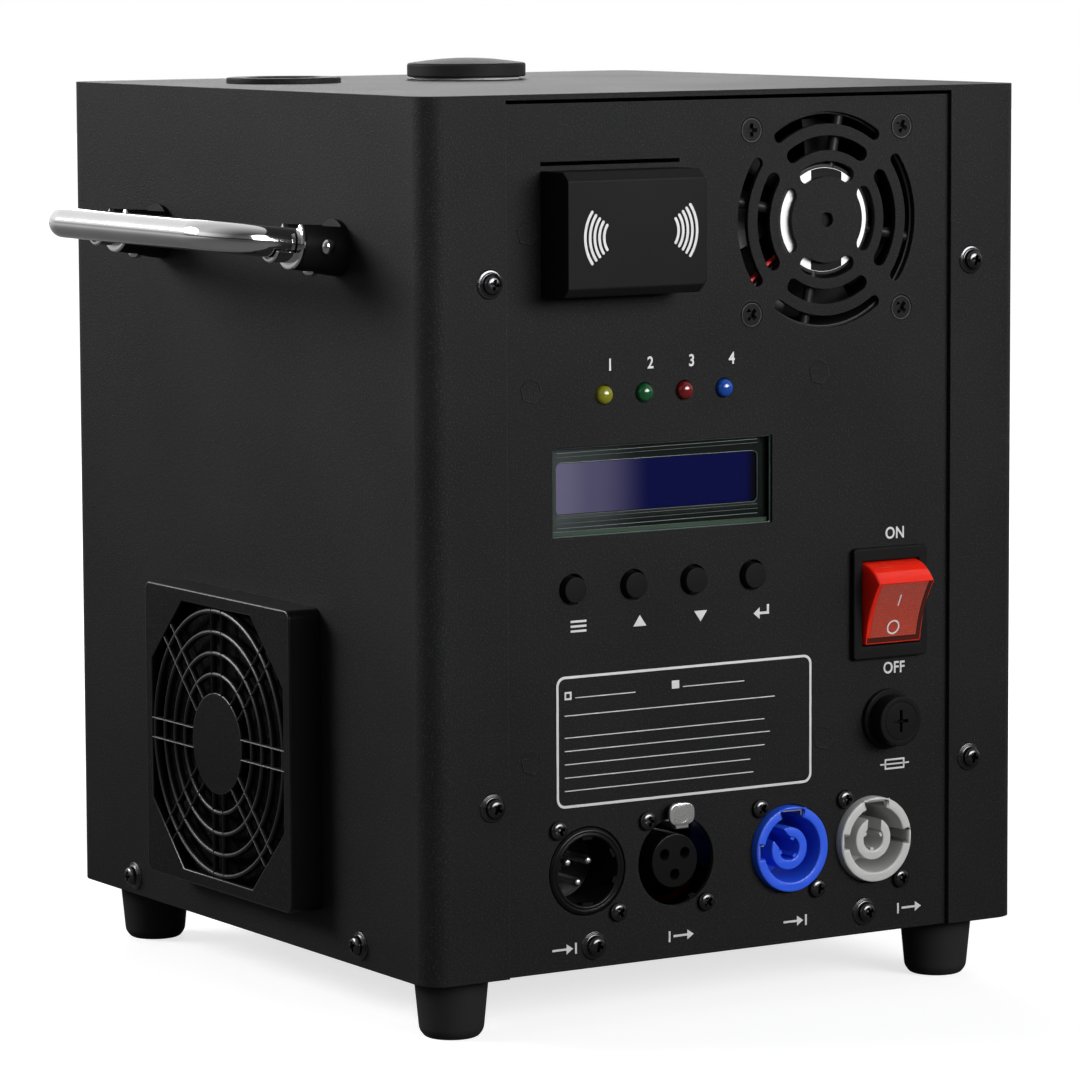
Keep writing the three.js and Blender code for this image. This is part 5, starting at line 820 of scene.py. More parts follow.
well, switch_body = block(ROCKER_X, ROCKER_Z, 9.6, 11.8, 0.25), block(ROCKER_X, ROCKER_Z, 11, 13.7, 0.5)
switch_form = bmesh.new()
for lines, thickness, ease, depth in (([block(ROCKER_X, ROCKER_Z, 12.5, 15.5, 1.2), well], 2, 0.45, -1),
                                      ([switch_body, well], 22.5, 0.1, 10.25),
                                      ([switch_body], 3, 0.1, 20.5)):
    add_mesh(switch_form, standing(lines, thickness, ease, PANEL_FRONT + depth))
for tab_z in (-7, 0, 7):
    pushed(switch_form, block(ROCKER_X, ROCKER_Z + tab_z, 3.15, 0.4), PANEL_FRONT + 21.8, PANEL_FRONT + 30)
piece("switch_bezel", switch_form, moulded, stands_for=("rocker_bezel",), even=True)
rocker_form = across_rocker(bmesh.new(), rocker_section(), ROCKER_W / 2, SIDE_EASE)
for way in (-1, 1):
    pin_root = at(ROCKER_X + way * ROCKER_W / 2, PANEL_FRONT, ROCKER_Z)
    turn(rocker_form, ROCKER_PIN, pin_root, (way, 0, 0), 24, 0.1)
piece("rocker_moulding", rocker_form, tinted_red, "rocker", ("rocker",), 28, even=True)
face_sheet("rocker_textured_face", textured_red, -8.1, 7.5, -7.6, 9.1, 0.06)
face_sheet("rocker_right_edge", smoke_red, 7.5, 9.0, -9.1, 9.2, 0.05)
face_sheet("rocker_foot_edge", smoke_red, -8.9, 7.5, -9.1, -7.6, 0.05)
rocker_lines = [rectangle(-0.65, -0.25, 1.6, 5.2, 0.15), ring(-0.6, -4.9, 2.1), ring(-0.6, -4.9, 1.62)]
marks_mesh = standing(rocker_lines, INK, 0.01, 0)
for vertex in marks_mesh.vertices:
    x, depth, rise = (vertex.co - at(0, 0, 0)) * 1000
    vertex.co = rocker_place(x, rocker_face(rise, 0.1 - depth), rise)
piece("rocker_marks", marks_mesh, white_print, "rocker")

# Fuse holder: a threaded body moulded of black plastic and held by a nut from behind, and a carrier for the
# fuse whose slotted cap turns and pulls out.
HOLDER = [(-33.5, 0), (-33.5, 6.2), (-4.5, 6.2), (-4.5, 8.8), (-1.5, 8.8), (-1.5, 6.2), (0, 6.2), (0, 8.4),
          (1.6, 8.4), (1.6, 4.3), (-28.5, 4.3), (-28.5, 0)]
CARRIER = [(-25.5, 0), (-25.5, 3.9), (1.6, 3.9), (1.6, 7), (7, 7), (7, 5.55), (6.85, 5.45),
           (6.85, 5.2), (7, 5.1), (7, 0)]
THREADS, THREAD_PITCH, CAP_OUT = 12, 1.5, 7


def cut_form(form, tool):
    """The form with the tool taken out of it, as a mesh."""
    whole, knife = (linked("cut", closed(body, 1e-7)) for body in (form, tool))
    taken = whole.modifiers.new("cut", "BOOLEAN")
    taken.operation = "DIFFERENCE"
    taken.solver = "EXACT"
    taken.object = knife
    return settled(whole, knife)


def cross_tool(centre, outward, tall, wide, thick, depth, end):
    """A cross-shaped tool that narrows towards its foot, for a driver slot."""
    form, rows = bmesh.new(), []
    outward, rise = Vector(outward), Vector(UPWARD)
    side = rise.cross(outward)
    for along, size, taper in ((0.6, 1.04, 1), (-depth, end, 0.8)):
        t, w, h = thick / 2 * taper, wide / 2 * size, tall / 2 * size
        points = [(w, t), (t, t), (t, h), (-t, h), (-t, t), (-w, t)]
        points += [(-x, -z) for x, z in points]
        rows.append([form.verts.new(centre + (side * x + rise * z + outward * along) / 1000)
                     for x, z in points])
    return skin(form, rows)


fuse_middle = at(FUSE_X, PANEL_FRONT, FUSE_Z)
holder = turn(bmesh.new(), HOLDER, fuse_middle, FRONT_OUT, 64, 0.4)
for back in (thread * THREAD_PITCH for thread in range(THREADS)):
    turn(holder, [(-6.4 - back, 6.1), (-6.0 - back, 6.45), (-5.6 - back, 6.1)], fuse_middle,
         FRONT_OUT, 40, 0)
piece("fuse_socket", holder, moulded, stands_for=("fuse_holder",), even=True)
cap_slot = cross_tool(at(FUSE_X, PANEL_FRONT - CAP_OUT, FUSE_Z), FRONT_OUT, 6.2, 4.8, 1, 1.8, 0.9)
slotted = cut_form(turn(bmesh.new(), CARRIER, fuse_middle, FRONT_OUT, 72, 0.55), cap_slot)
piece("fuse_cap", slotted, moulded, "fuse_carrier", ("fuse_carrier",), 30)

# Signal sockets: three-pin round connectors of glossy black moulding, held by two screws through their
# flanges from the front. The male one shows three bright turned pins; the female one has a dark insert and a
# sprung push latch.
MALE_BORE, FEMALE_BORE, PIN_R, PIN_ANGLES = 9.4, 9.8, 3.8, (math.pi / 6, 5 * math.pi / 6, -QUARTER)
LUGS, LUG_STEPS = ((0.50, 0.30), (1.57, 0.34), (2.9, 0.22), (-1.57, 0.36), (-0.35, 0.2)), 6
SHELL_LIP = [(-0.2, 11.9), (0.45, 11.2), (0.5, 10.75), (0.3, 10.6), (0.3, 10.35), (0.5, 10.2)]
INSERT = [(-14.5, 0), (-14.5, 7.4), (-0.75, 7.4), (-0.6, 7.2), (-0.6, 0)]
PIN_HOLE = [(-9, 0), (-9, 1.35), (-1.0, 1.35), (-0.4, 1.75), (0.6, 1.75), (0.6, 0)]
SOCKET_PIN = [(-14.2, 0), (-14.2, 1.2), (-5.4, 1.2), (-4.7, 0.95), (-4.4, 0.5), (-4.4, 0)]
LATCH_RIM = [(-0.5, 2.2), (0.06, 2.25), (0.06, 2.45), (-0.5, 2.5), (-0.5, 2.2)]
LATCH_Z, OVAL_STEPS, OVAL_POWER = SOCKET_Z + 13.3, 56, 0.72
gloss_plastic = finish("glossy black plastic", "black_plastic", (0.005, 0.005, 0.0053), 0.22, grain=1.4,
                       depth=0.012, blotch=0.15, swing=0.05, Specular_IOR_Level=0.18)
bright_metal = finish("bright plated metal", "steel", (0.66, 0.655, 0.64), 0.28, 1.0, grain=1.2, depth=0.01,
                      blotch=0.08, swing=0.06)


def socket_flange(form, socket_x):
    """Adds the flange that a socket's screws hold, behind the panel."""
    lines = [block(socket_x, SOCKET_Z, 13, 15.5, 2), ring(socket_x, SOCKET_Z, 11.6, 64)]
    return add_mesh(form, standing(lines, 1.6, 0.1, PANEL_FRONT + 2.3))


def signal_shell(socket_x, bore, back):
    """A round shell with its flange, back mm deep behind the panel's face."""
    inside = [(0.5, bore + 0.3), (0.1, bore), (-14, bore), (-14, 0)]
    profile = [(-back, 0), (-back, 11.9)] + SHELL_LIP + inside
    form = turn(bmesh.new(), profile, at(socket_x, PANEL_FRONT, SOCKET_Z), FRONT_OUT, 96, 0.2)
    return socket_flange(form, socket_x)


def spot_at(socket_x, r, angle, along=0.0):
    return at(socket_x + r * math.cos(angle), PANEL_FRONT - along, SOCKET_Z + r * math.sin(angle))


def squared(share):
    """A sine or cosine made fuller, for an oval with squarer shoulders."""
    return math.copysign(abs(share) ** OVAL_POWER, share)


shell = signal_shell(MALE_X, MALE_BORE, 24)
lug_corners = [(MALE_BORE + r, along)
               for r, along in ((-0.75, 0.05), (0.2, 0.05), (0.2, -2.2), (-0.75, -2.2))]
for angle, span in LUGS:
    stops = [angle - span / 2 + span * k / LUG_STEPS for k in range(LUG_STEPS + 1)]
    skin(shell,
         [[shell.verts.new(spot_at(MALE_X, r, stop, along)) for r, along in lug_corners] for stop in stops])
piece("signal_socket_male", closed(shell, 0), gloss_plastic, stands_for=("xlr_male",))
shell = signal_shell(FEMALE_X, FEMALE_BORE, 26)
insert = turn(bmesh.new(), INSERT, spot_at(FEMALE_X, 0, 0), FRONT_OUT, 80, 0.1)
drill, pins = bmesh.new(), bmesh.new()
for angle in PIN_ANGLES:
    turn(drill, PIN_HOLE, spot_at(FEMALE_X, PIN_R, angle), FRONT_OUT, 32, 0)
    turn(pins, SOCKET_PIN, spot_at(MALE_X, PIN_R, angle), FRONT_OUT, 28, 0.2)
add_mesh(shell, cut_form(insert, drill))
channel = rectangle(FEMALE_X - 2.7, FEMALE_X + 2.7, SOCKET_Z + 9, SOCKET_Z + 12.6)
opened = cut_form(shell, pushed(bmesh.new(), channel, PANEL_FRONT + 13, PANEL_FRONT - 2))
piece("signal_socket_female", opened, gloss_plastic, stands_for=("xlr_female",))
piece("signal_socket_pins", pins, bright_metal, even=True)
oval = [(FEMALE_X + 4.1 * squared(math.cos(a)), LATCH_Z + 3.2 * squared(math.sin(a)))
        for a in (2 * math.pi * k / OVAL_STEPS for k in range(OVAL_STEPS))]
half_neck = [(2.1, 9.4), (2.1, 10.2), (3.0, 11.3), (2.6, 12.4)]
neck = [(FEMALE_X + x, SOCKET_Z + z) for x, z in half_neck + [(-x, z) for x, z in half_neck[::-1]]]
tongue = rectangle(FEMALE_X - 2.05, FEMALE_X + 2.05, SOCKET_Z + 9.45, SOCKET_Z + 10.85, 0.2)
latch_form = add_mesh(bmesh.new(), standing([oval], 1.2, 0.35, PANEL_FRONT - 2.6))
add_mesh(latch_form, standing([neck], 1.1, 0.2, PANEL_FRONT - 2.58))
pushed(latch_form, tongue, PANEL_FRONT + 10.9, PANEL_FRONT - 3.0)
turn(latch_form, LATCH_RIM, at(FEMALE_X, PANEL_FRONT - 3.2, LATCH_Z), FRONT_OUT, 40, 0)
piece("push_latch", latch_form, bright_metal, "latch", ("xlr_latch",), even=True)

# Power sockets: locking mains connectors, blue for the feed in and grey for the feed through. Each has a
# proud ring with key slots and a split core round its centre post; both are moulded and screwed on as the
# signal sockets are.
RING_R, KEY_BORE, KEY_REACH, KEY_STEPS, CORE_R, CORE_BORE, CORE_GAP = 11.9, 9.2, 10.9, 240, 5.9, 3.3, 4.4
RING_OUT, RING_DEPTH, CORE_OUT, CORE_DEPTH, LUG_TURN = 2.4, 15.4, 0.8, 14, 1.15
SOCKET_BACK = [(-31, 0), (-31, RING_R), (-13, RING_R), (-13, 0)]
TOP_KEY, LEFT_KEY, RIGHT_KEY = (QUARTER, 6.4), (math.pi, 3.8), (0, 3.6)
socket_blue = finish("blue moulding", "socket_blue", (0.022, 0.095, 0.72), 0.34, grain=0.8, depth=0.02,
                     blotch=0.06, swing=0.05)
socket_grey = finish("light grey moulding", "socket_grey", (0.5, 0.5, 0.49), 0.38, grain=0.8, depth=0.02,
                     blotch=0.04, swing=0.05)


def keyed_bore(socket_x, keys):
    """The bore's outline with square key slots, each given by its angle and width in mm."""
    points = []
    for angle in (2 * math.pi * k / KEY_STEPS for k in range(KEY_STEPS)):
        here = KEY_BORE
        for key_angle, width in keys:
            off = (angle - key_angle + math.pi) % (2 * math.pi) - math.pi
            if abs(off) < QUARTER and abs(KEY_BORE * math.sin(off)) < width / 2:
                here = KEY_REACH / math.cos(off)
        points.append((socket_x + here * math.cos(angle), SOCKET_Z + here * math.sin(angle)))
    return points


def split_core(socket_x, gap_angle):
    """A C-shaped outline whose opening has parallel sides."""
    outer, inner = (math.asin(CORE_GAP / 2 / r) for r in (CORE_R, CORE_BORE))
    full = gap_angle + 2 * math.pi
    return (arc(socket_x, SOCKET_Z, CORE_R, gap_angle + outer, full - outer, 60)
            + arc(socket_x, SOCKET_Z, CORE_BORE, full - inner, gap_angle + inner, 44))


def beside(socket_x, angle, points):
    """Points in X and Z of those given along and across a ray from the socket's middle."""
    along_x, along_z = math.cos(angle), math.sin(angle)
    return [(socket_x + along_x * a - along_z * b, SOCKET_Z + along_z * a + along_x * b) for a, b in points]


for socket_x, stands_for, name, made, gap_angle, keys in (
        (POWER_IN_X, "power_inlet", "power_socket_in", socket_blue, 0.73 * math.pi, (TOP_KEY, LEFT_KEY)),
        (POWER_OUT_X, "power_outlet", "power_socket_out", socket_grey, 0.47 * math.pi,
         (TOP_KEY, LEFT_KEY, RIGHT_KEY))):
    wall = [ring(socket_x, SOCKET_Z, RING_R, 128), keyed_bore(socket_x, keys)]
    socket_form = add_mesh(bmesh.new(),
                           standing(wall, RING_DEPTH, 0.45, PANEL_FRONT - RING_OUT + RING_DEPTH / 2))
    core = standing([split_core(socket_x, gap_angle)], CORE_DEPTH, 0.3,
                    PANEL_FRONT - CORE_OUT + CORE_DEPTH / 2)
    add_mesh(socket_form, core)
    for lug_angle in (gap_angle + LUG_TURN, gap_angle - LUG_TURN, gap_angle + math.pi):
        lug = beside(socket_x, lug_angle, rectangle(2.5, 3.6, -0.55, 0.55))
        pushed(socket_form, lug, PANEL_FRONT + 12.8, PANEL_FRONT - 0.4)
    turn(socket_form, SOCKET_BACK, at(socket_x, PANEL_FRONT, SOCKET_Z), FRONT_OUT, 64, 0.3)
    piece(name, socket_flange(socket_form, socket_x), made, stands_for=(stands_for,))
    contacts = bmesh.new()
    for key_angle, width in keys:
        for blade in (rectangle(10.55, 10.85, 0.1 - width / 2, width / 2 - 0.1),
                      rectangle(9.3, 10.7, 0.05 - width / 2, 0.3 - width / 2)):
            pushed(contacts, beside(socket_x, key_angle, blade), PANEL_FRONT + 9, PANEL_FRONT - 1.9)
    piece(f"{name}_contacts", contacts, bright_metal)

# Screws: black-nickel cross-slot screws, turned and pressed, driven from outside. Pan heads with a washer
# hold the cover and the panel, plain pan heads hold the sockets, and flat heads in dished holes hold the
# small fan.
SHANK_END, SHANK_R, REAR_FACE, CORNER_FRONT = -6.5, 1.45, 100, -101.5
WASHER = [(0, 4.0), (0.12, 4.0), (0.5, 3.75), (0.55, 3.2), (0.8, 3.05), (0.9, 2.72)]
FLAT_HEAD = [(SHANK_END, 0), (SHANK_END, 1.6), (-1.75, 1.6), (-0.3, 3.15), (-0.05, 3.2), (-0.02, 3.05),
             (-0.02, 0)]
DIMPLE = [(-1.3, 2.35), (-0.12, 3.5), (0.02, 3.62), (0.03, 4.1), (-0.1, 4.5)]
RIM = [(-0.1, 3.2), (0.03, 3.24), (0.06, 3.14), (0.02, 3.02), (-0.1, 3.0)]
black_nickel = finish("black nickel", "steel", (0.085, 0.085, 0.088), 0.2, 1.0, grain=0.9, depth=0.012,
                      blotch=0.2, swing=0.07)
flat_nickel = finish("dull black nickel", "steel", (0.009, 0.009, 0.0092), 0.45, grain=0.9, depth=0.015,
                     blotch=0.2, swing=0.07, Specular_IOR_Level=0.06)
# The fan screws' rims are lighter than their heads: a painted highlight, not wear.
rim_highlight_paint = finish("screw rim painted highlight", "steel", (0.06, 0.06, 0.062), 0.4, grain=0.8, depth=0.02,
                   blotch=0.2, Specular_IOR_Level=0.12)


def pan_head(r, h, foot=0.0):
    """Half-round head on its shank, from the seat at foot mm."""
    shank = [(SHANK_END, 0), (SHANK_END, SHANK_R), (foot, SHANK_R), (foot, r * 0.96)]
    return shank + rounded(foot + h * 0.42, h * 0.58, r, 7, r * 0.3) + [(foot + h, r * 0.22), (foot + h, 0)]


def screw_form(profile, slot_size, slot_depth, top):
    """A screw that points along +X at the origin, with a cross slot in its head."""
    head = turn(bmesh.new(), profile, (0, 0, 0), RIGHT_OUT, 40, 0.12)
    slot_top = Vector(RIGHT_OUT) * top / 1000
    return cut_form(head,
                    cross_tool(slot_top, RIGHT_OUT, slot_size, slot_size, slot_size * 0.3, slot_depth, 0.55))


def driven(name, form_mesh, spots, made, seed):
    """Geometry Nodes sets one screw at every spot, facing its way out, each turned by a chance angle."""
    tree, keys, into, placed = instancer(name, made, Spots="Geometry", Screw="Object", Seed="Int",
                                         Size="Float")
    model = node(tree, "GeometryNodeObjectInfo", None, {"Object": into["Screw"]})
    facing = node(tree, "GeometryNodeInputNamedAttribute", {"Name": "facing"}, data_type="FLOAT_VECTOR")
    look = node(tree, "FunctionNodeAlignRotationToVector", None, {"Vector": facing.outputs[0]}, axis="X")
    chance = node(tree, "FunctionNodeRandomValue", {2: 0, 3: QUARTER}, {"Seed": into["Seed"]},
                  data_type="FLOAT")
    spin = node(tree, "FunctionNodeAxisAngleToRotation", {"Axis": RIGHT_OUT}, {"Angle": chance.outputs[1]})
    both = node(tree, "FunctionNodeRotateRotation", None,
                {"Rotation": look.outputs[0], "Rotate By": spin.outputs[0]}, rotation_space="LOCAL")
    for socket, source in (("Points", into["Spots"]), ("Instance", model.outputs["Geometry"]),
                           ("Rotation", both.outputs[0]), ("Scale", into["Size"])):
        tree.links.new(source, placed[socket])
    pattern = bpy.data.meshes.new(name)
    pattern.from_pydata([tuple(spot) for spot, way in spots], [], [])
    direction = pattern.attributes.new("facing", "FLOAT_VECTOR", "POINT")
    for k, (spot, way) in enumerate(spots):
        direction.data[k].vector = way
    screw = linked(f"{name} model", form_mesh)
    piece(name, grown(linked(name, pattern), tree, keys, screw, Screw=screw, Seed=seed, Size=1.0),
          made, sharp=30)


cover_spots = [(at(x, CORNER_FRONT, z), FRONT_OUT)
               for x, z in ((-77.3, 186), (-77.3, 46.8), (79.7, 186.9), (79.7, 47.15))]
cover_spots += [(at(x, PANEL_FRONT, z), FRONT_OUT) for x, z in ((-44.6, 6.2), (44.8, 6.3))]
cover_spots += [(at(side * WALL_X, y, z), (side, 0, 0)) for side in (-1, 1)
                for y, z in ((-65, 6), (65.8, 5.5))]
pan_with_washer = [(SHANK_END, 0), (SHANK_END, SHANK_R), (0, SHANK_R)] + WASHER + pan_head(2.68,
                                                                                           2.0, 0.75)[4:]
driven("cover_screws", screw_form(pan_with_washer, 3.3, 1.7, 2.75), cover_spots, black_nickel, 3)
socket_spots = [(at(socket_x + dx, PANEL_FRONT, SOCKET_Z + dz), FRONT_OUT)
                for socket_x in (MALE_X, FEMALE_X, POWER_IN_X, POWER_OUT_X)
                for dx, dz in ((-9.5, 12), (9.5, -12))]
driven("socket_screws", screw_form(pan_head(2.6, 1.75), 3.2, 1.5, 1.75), socket_spots, black_nickel, 8)
rear_spots = [(at(x, REAR_FACE, z), REAR_OUT) for x in (-63, 63) for z in (10, 117, 222)]
driven("rear_plate_screws", screw_form(pan_head(2.9, 1.4), 3.2, 1.1, 1.4), rear_spots, black_nickel, 12)
fan_spots = [(at(x, PANEL_FRONT, z), FRONT_OUT) for x, z in fan_corners]
driven("fan_screws", screw_form(FLAT_HEAD, 4.2, 1.3, -0.02), fan_spots, flat_nickel, 5)
# The rims' lighter colour is a painted highlight.
for name, profile, made in (("fan_screw_dimples", DIMPLE, powder), ("fan_screw_rims", RIM, rim_highlight_paint)):
    rounds = bmesh.new()
    for spot, way in fan_spots:
        turn(rounds, profile, spot, way, 48, 0)
    piece(name, rounds, made)

# Printed marks: white screen print on the panel. The names of the lamps and keys are plain numbers and signs
# here, and the plate below the keys is a ruled frame that is left blank.
LETTER_H, CAPITAL_SHARE, LETTER_SPREAD, LETTER_SPACE, LETTER_NARROW = 3.1, 0.69, 0.00008, 1.06, 0.9
NUMBER_X, NUMBER_Z = (-38.8, -25.9, -12.6, 0.5), 162.8
KEY_ROW, FUSE_SIGN_X, FUSE_SIGN_Z, ARROW_Z = 93.3, 55.2, 47.0, 5.95
ARROW = ((-3.6, -0.3), (0.9, -0.3), (0.9, -1.4), (3.0, 0), (0.9, 1.4), (0.9, 0.3), (-3.6, 0.3))
RETURN_SIGN = ((7.6, -0.7), (9.6, 0.9), (9.6, -0.35), (12, -0.35), (12, 1.6), (12.7, 1.6), (12.7, -1.05),
               (9.6, -1.05), (9.6, -2.3))
marks = bmesh.new()


def printed(*lines):
    """Prints filled outlines on the panel."""
    add_mesh(marks, standing(lines, INK, 0.008, PANEL_FRONT - INK / 2))


def lettered(words, x, z):
    """Prints generic lettering with its middle at x and z mm."""
    text = bpy.data.curves.new(words, "FONT")
    text.body = words
    text.align_x = "CENTER"
    text.align_y = "CENTER"
    text.size = LETTER_H / CAPITAL_SHARE / 1000
    text.offset = LETTER_SPREAD
    text.extrude = INK / 2000
    text.space_character = LETTER_SPACE
    mesh = settled(linked("lettering", text))
    mesh.transform(Matrix.Translation(at(x, PANEL_FRONT - INK / 2, z)) @ Matrix.Rotation(QUARTER, 4, "X")
                   @ Matrix.Diagonal((LETTER_NARROW, 1, 1, 1)))
    add_mesh(marks, mesh)


lettered("ON", 55.1, 111.7)
lettered("OFF", 54.9, 74)
for number, x in enumerate(NUMBER_X, 1):
    lettered(str(number), x, NUMBER_Z)
printed(*[rectangle(-51.6, -46.6, KEY_ROW + dz - 0.3, KEY_ROW + dz + 0.3) for dz in (-1.3, 0, 1.3)],
        [(-31.6, KEY_ROW - 1.4), (-27.4, KEY_ROW - 1.4), (-29.5, KEY_ROW + 1.6)],
        [(-11.9, KEY_ROW + 1.4), (-9.8, KEY_ROW - 1.6), (-7.7, KEY_ROW + 1.4)],
        [(x, KEY_ROW + dz) for x, dz in RETURN_SIGN],
        block(FUSE_SIGN_X, FUSE_SIGN_Z, 3.4, 1.5, 0.2), block(FUSE_SIGN_X, FUSE_SIGN_Z, 2.9, 1, 0.1))
printed(block(FUSE_SIGN_X, FUSE_SIGN_Z, 4.9, 0.22))
for x, bar_side, shift in ((-54.2, 1, 0), (-16.2, -1, 1), (21.2, 1, 0), (60.4, -1, 1)):
    printed(block(x + bar_side * 3.9, ARROW_Z, 0.3, 1.5),
            [(x + dx + shift, ARROW_Z + dz) for dx, dz in ARROW])
printed(rectangle(-56.2, 26.9, 44.3, 80, 2.6), rectangle(-55.5, 26.2, 45.0, 79.3, 2.0))
printed(rectangle(-53.6, -51.4, 73.6, 75.8), rectangle(-53.1, -51.9, 74.1, 75.3),
        rectangle(-50.2, -31, 73.9, 74.15), rectangle(-19.2, -16.8, 74, 76.2),
        rectangle(-15.6, 4.5, 74.2, 74.45), rectangle(-53.6, 14.6, 69.2, 69.45),
        *[rectangle(-53.6, right_end, z, z + 0.25)
          for z, right_end in ((63.2, 11.2), (59.6, 13), (56, 11.2), (52.4, 6.5), (48.8, 7.5))])
piece("panel_print", marks, white_print, sharp=30)

# Spark outlet and powder hopper's mouth: a thin turned flange with its tube, both coated black; a domed
# moulded cap on a thin pale collar round the filling neck.
OUTLET_X, HOPPER_X, HEAD_Y, ROOF = -55.7, 5.8, 46.5, 235.5
OUTLET = [(-28, 10.4), (-28, 12.5), (0, 12.5), (0, 16.5), (1.25, 16.5), (1.6, 16.15), (1.6, 11), (1.2, 10.4),
          (-28, 10.4)]
COLLAR = [(0, 14.8), (0, 15.6), (0.7, 15.6), (0.7, 14.8), (0, 14.8)]
LID = [(-3.1, 0), (-3.1, 10.2), (-2.3, 10.2), (-2.3, 12.1), (0.7, 12.1), (0.7, 17.05), (1.1, 17.43),
       (4.3, 17.43), (4.75, 17.0), (4.95, 15.5), (5.35, 12.5), (5.85, 8), (6.12, 3.6), (6.2, 0)]
pale_moulding = finish("pale collar moulding", "black_plastic", (0.42, 0.42, 0.41), 0.4, grain=0.7,
                       depth=0.02, blotch=0.05, swing=0.05)
satin_moulding = finish("satin black moulding", "black_plastic", (0.013, 0.013, 0.0133), 0.5, grain=0.8,
                        depth=0.03, blotch=0.1, swing=0.05, Specular_IOR_Level=0.03)
outlet_mouth, hopper_mouth = at(OUTLET_X, HEAD_Y, ROOF), at(HOPPER_X, HEAD_Y, ROOF)
piece("spark_outlet_flange", turn(bmesh.new(), OUTLET, outlet_mouth, UPWARD, 96, 0.15), powder,
      stands_for=("spark_outlet",), even=True)
piece("hopper_neck_collar", turn(bmesh.new(), COLLAR, hopper_mouth, UPWARD, 96, 0.12), pale_moulding,
      stands_for=("hopper_collar",))
piece("hopper_lid", turn(bmesh.new(), LID, hopper_mouth, UPWARD, 96, 0.5), satin_moulding, "hopper_cap",
      ("hopper_cap",), 50, even=True)

# Spark head: a folded steel bracket carries a blower, the heater block in its mineral wrap, and the feed
# screw in an aluminium tube, turned by a geared motor under the powder funnel. All are bolted together
# inside the case.
WRAP_R, WRAP_H, WRAP_Z, FEED_Z, MOTOR_X, GEAR_END = 29.5, 52, 177.5, 176, 36, 22
BAND = [(-2, 29.4), (-2, 29.75), (2, 29.75), (2, 29.4), (-2, 29.4)]
PORT = [(0, 0), (0, 11.4), (40, 11.4), (40, 0)]
MOTOR = [(6, 0), (6, 3.3), (0, 3.3), (0, 17), (GEAR_END, 17), (GEAR_END, 14), (48, 14), (48, 6),
         (51, 6), (51, 0)]
FUNNEL = [(-44.5, 7), (-44.5, 12.5), (-40.5, 10.4), (-22.8, 29), (-13.5, 29), (-5.2, 14.5), (0.9, 14.5),
          (0.9, 12.4), (-6, 12.4), (-14.5, 27), (-21.8, 27), (-42, 7), (-44.5, 7)]
plain_steel = finish("plain steel", "steel", (0.5, 0.5, 0.51), 0.38, 1.0, grain=0.5, depth=0.015, blotch=0.1,
                     swing=0.08)
satin_aluminium = finish("satin aluminium", "aluminium", (0.58, 0.59, 0.6), 0.34, 1.0, grain=0.7,
                         depth=0.015, blotch=0.06, swing=0.07)
mineral_wrap = finish("mineral wrap", "insulation", (0.62, 0.58, 0.48), 0.85, grain=1.4,
                      depth=0.25, detail=5, blotch=0.14)
eased_sheet("head_bracket", "spark_head_bracket", plain_steel, ease=0.3)
eased_sheet("heater_block", "heater_core_block", plain_steel, ease=0.5)
eased_sheet("auger_tube", "feed_tube", satin_aluminium, ease=0.3)
eased_sheet("feed_auger", "feed_screw_flight", plain_steel, "feed_screw", ease=0.1)
eased_sheet("blower_housing", "blower_snail", fan_plastic, ease=0.3)
eased_sheet("blower_impeller", "blower_vane_wheel", fan_plastic, "blower_wheel", ease=0.1)
wrap = drawn([ring(OUTLET_X, HEAD_Y, WRAP_R, 96), block(OUTLET_X, HEAD_Y, 20.1, 20.1, 1.5)], WRAP_H, 1.2)
wrap.transform(Matrix.Translation(at(0, 0, WRAP_Z)))
port = turn(bmesh.new(), PORT, at(OUTLET_X, HEAD_Y, FEED_Z), RIGHT_OUT, 48, 0)
bored = cut_form(add_mesh(bmesh.new(), wrap), port)
piece("heater_wrap", bored, mineral_wrap, stands_for=("heater_jacket",), even=True)
bands = bmesh.new()
for band_z in (158, 197):
    turn(bands, BAND, at(OUTLET_X, HEAD_Y, band_z), UPWARD, 96, 0.1)
piece("heater_wrap_bands", bands, plain_steel)
motor_root = at(MOTOR_X, HEAD_Y, FEED_Z)
motor = turn(bmesh.new(), MOTOR, motor_root, RIGHT_OUT, 72, 0.5)
for seam in (3, 18.5, 25, 45):
    seam_r = 17.1 if seam < GEAR_END else 14.1
    turn(motor, [(seam, 13.9), (seam, seam_r), (seam + 0.8, seam_r), (seam + 0.8, 13.9)], motor_root,
         RIGHT_OUT, 72, 0)
piece("feed_gear_motor", motor, plain_steel, stands_for=("feed_motor",), even=True)
piece("powder_funnel", turn(bmesh.new(), FUNNEL, hopper_mouth, UPWARD, 80, 0.4), satin_aluminium,
      stands_for=("hopper_funnel",), even=True)

# Electronics: a supply in a vented aluminium case, the main board on its posts, and the board behind the
# display. The boards are green laminate with their larger parts; three capacitors in blue sleeves stand on
# the main one.
CAN = [(0, 0), (0, 5.02), (1.6, 5.02), (2.0, 4.8), (2.4, 5.02), (20.02, 5.02), (20.02, 3.4), (19.9, 3.2),
       (19.9, 0)]
sleeve_blue = finish("capacitor sleeve", "circuit_board", (0.01, 0.015, 0.05), 0.3, grain=1.2, depth=0.01,
                     blotch=0.1)
eased_sheet("power_supply", "vented_supply", satin_aluminium, ease=0.3)
eased_sheet("main_board", "control_unit_board", solder_green, ease=0.1)
eased_sheet("control_board", "panel_board", solder_green, ease=0.1)
cans = bmesh.new()
for can_x in (-14, 0, 14):
    turn(cans, CAN, at(can_x, -18, 11.1), UPWARD, 40, 0.4)
piece("capacitor_row", cans, sleeve_blue)

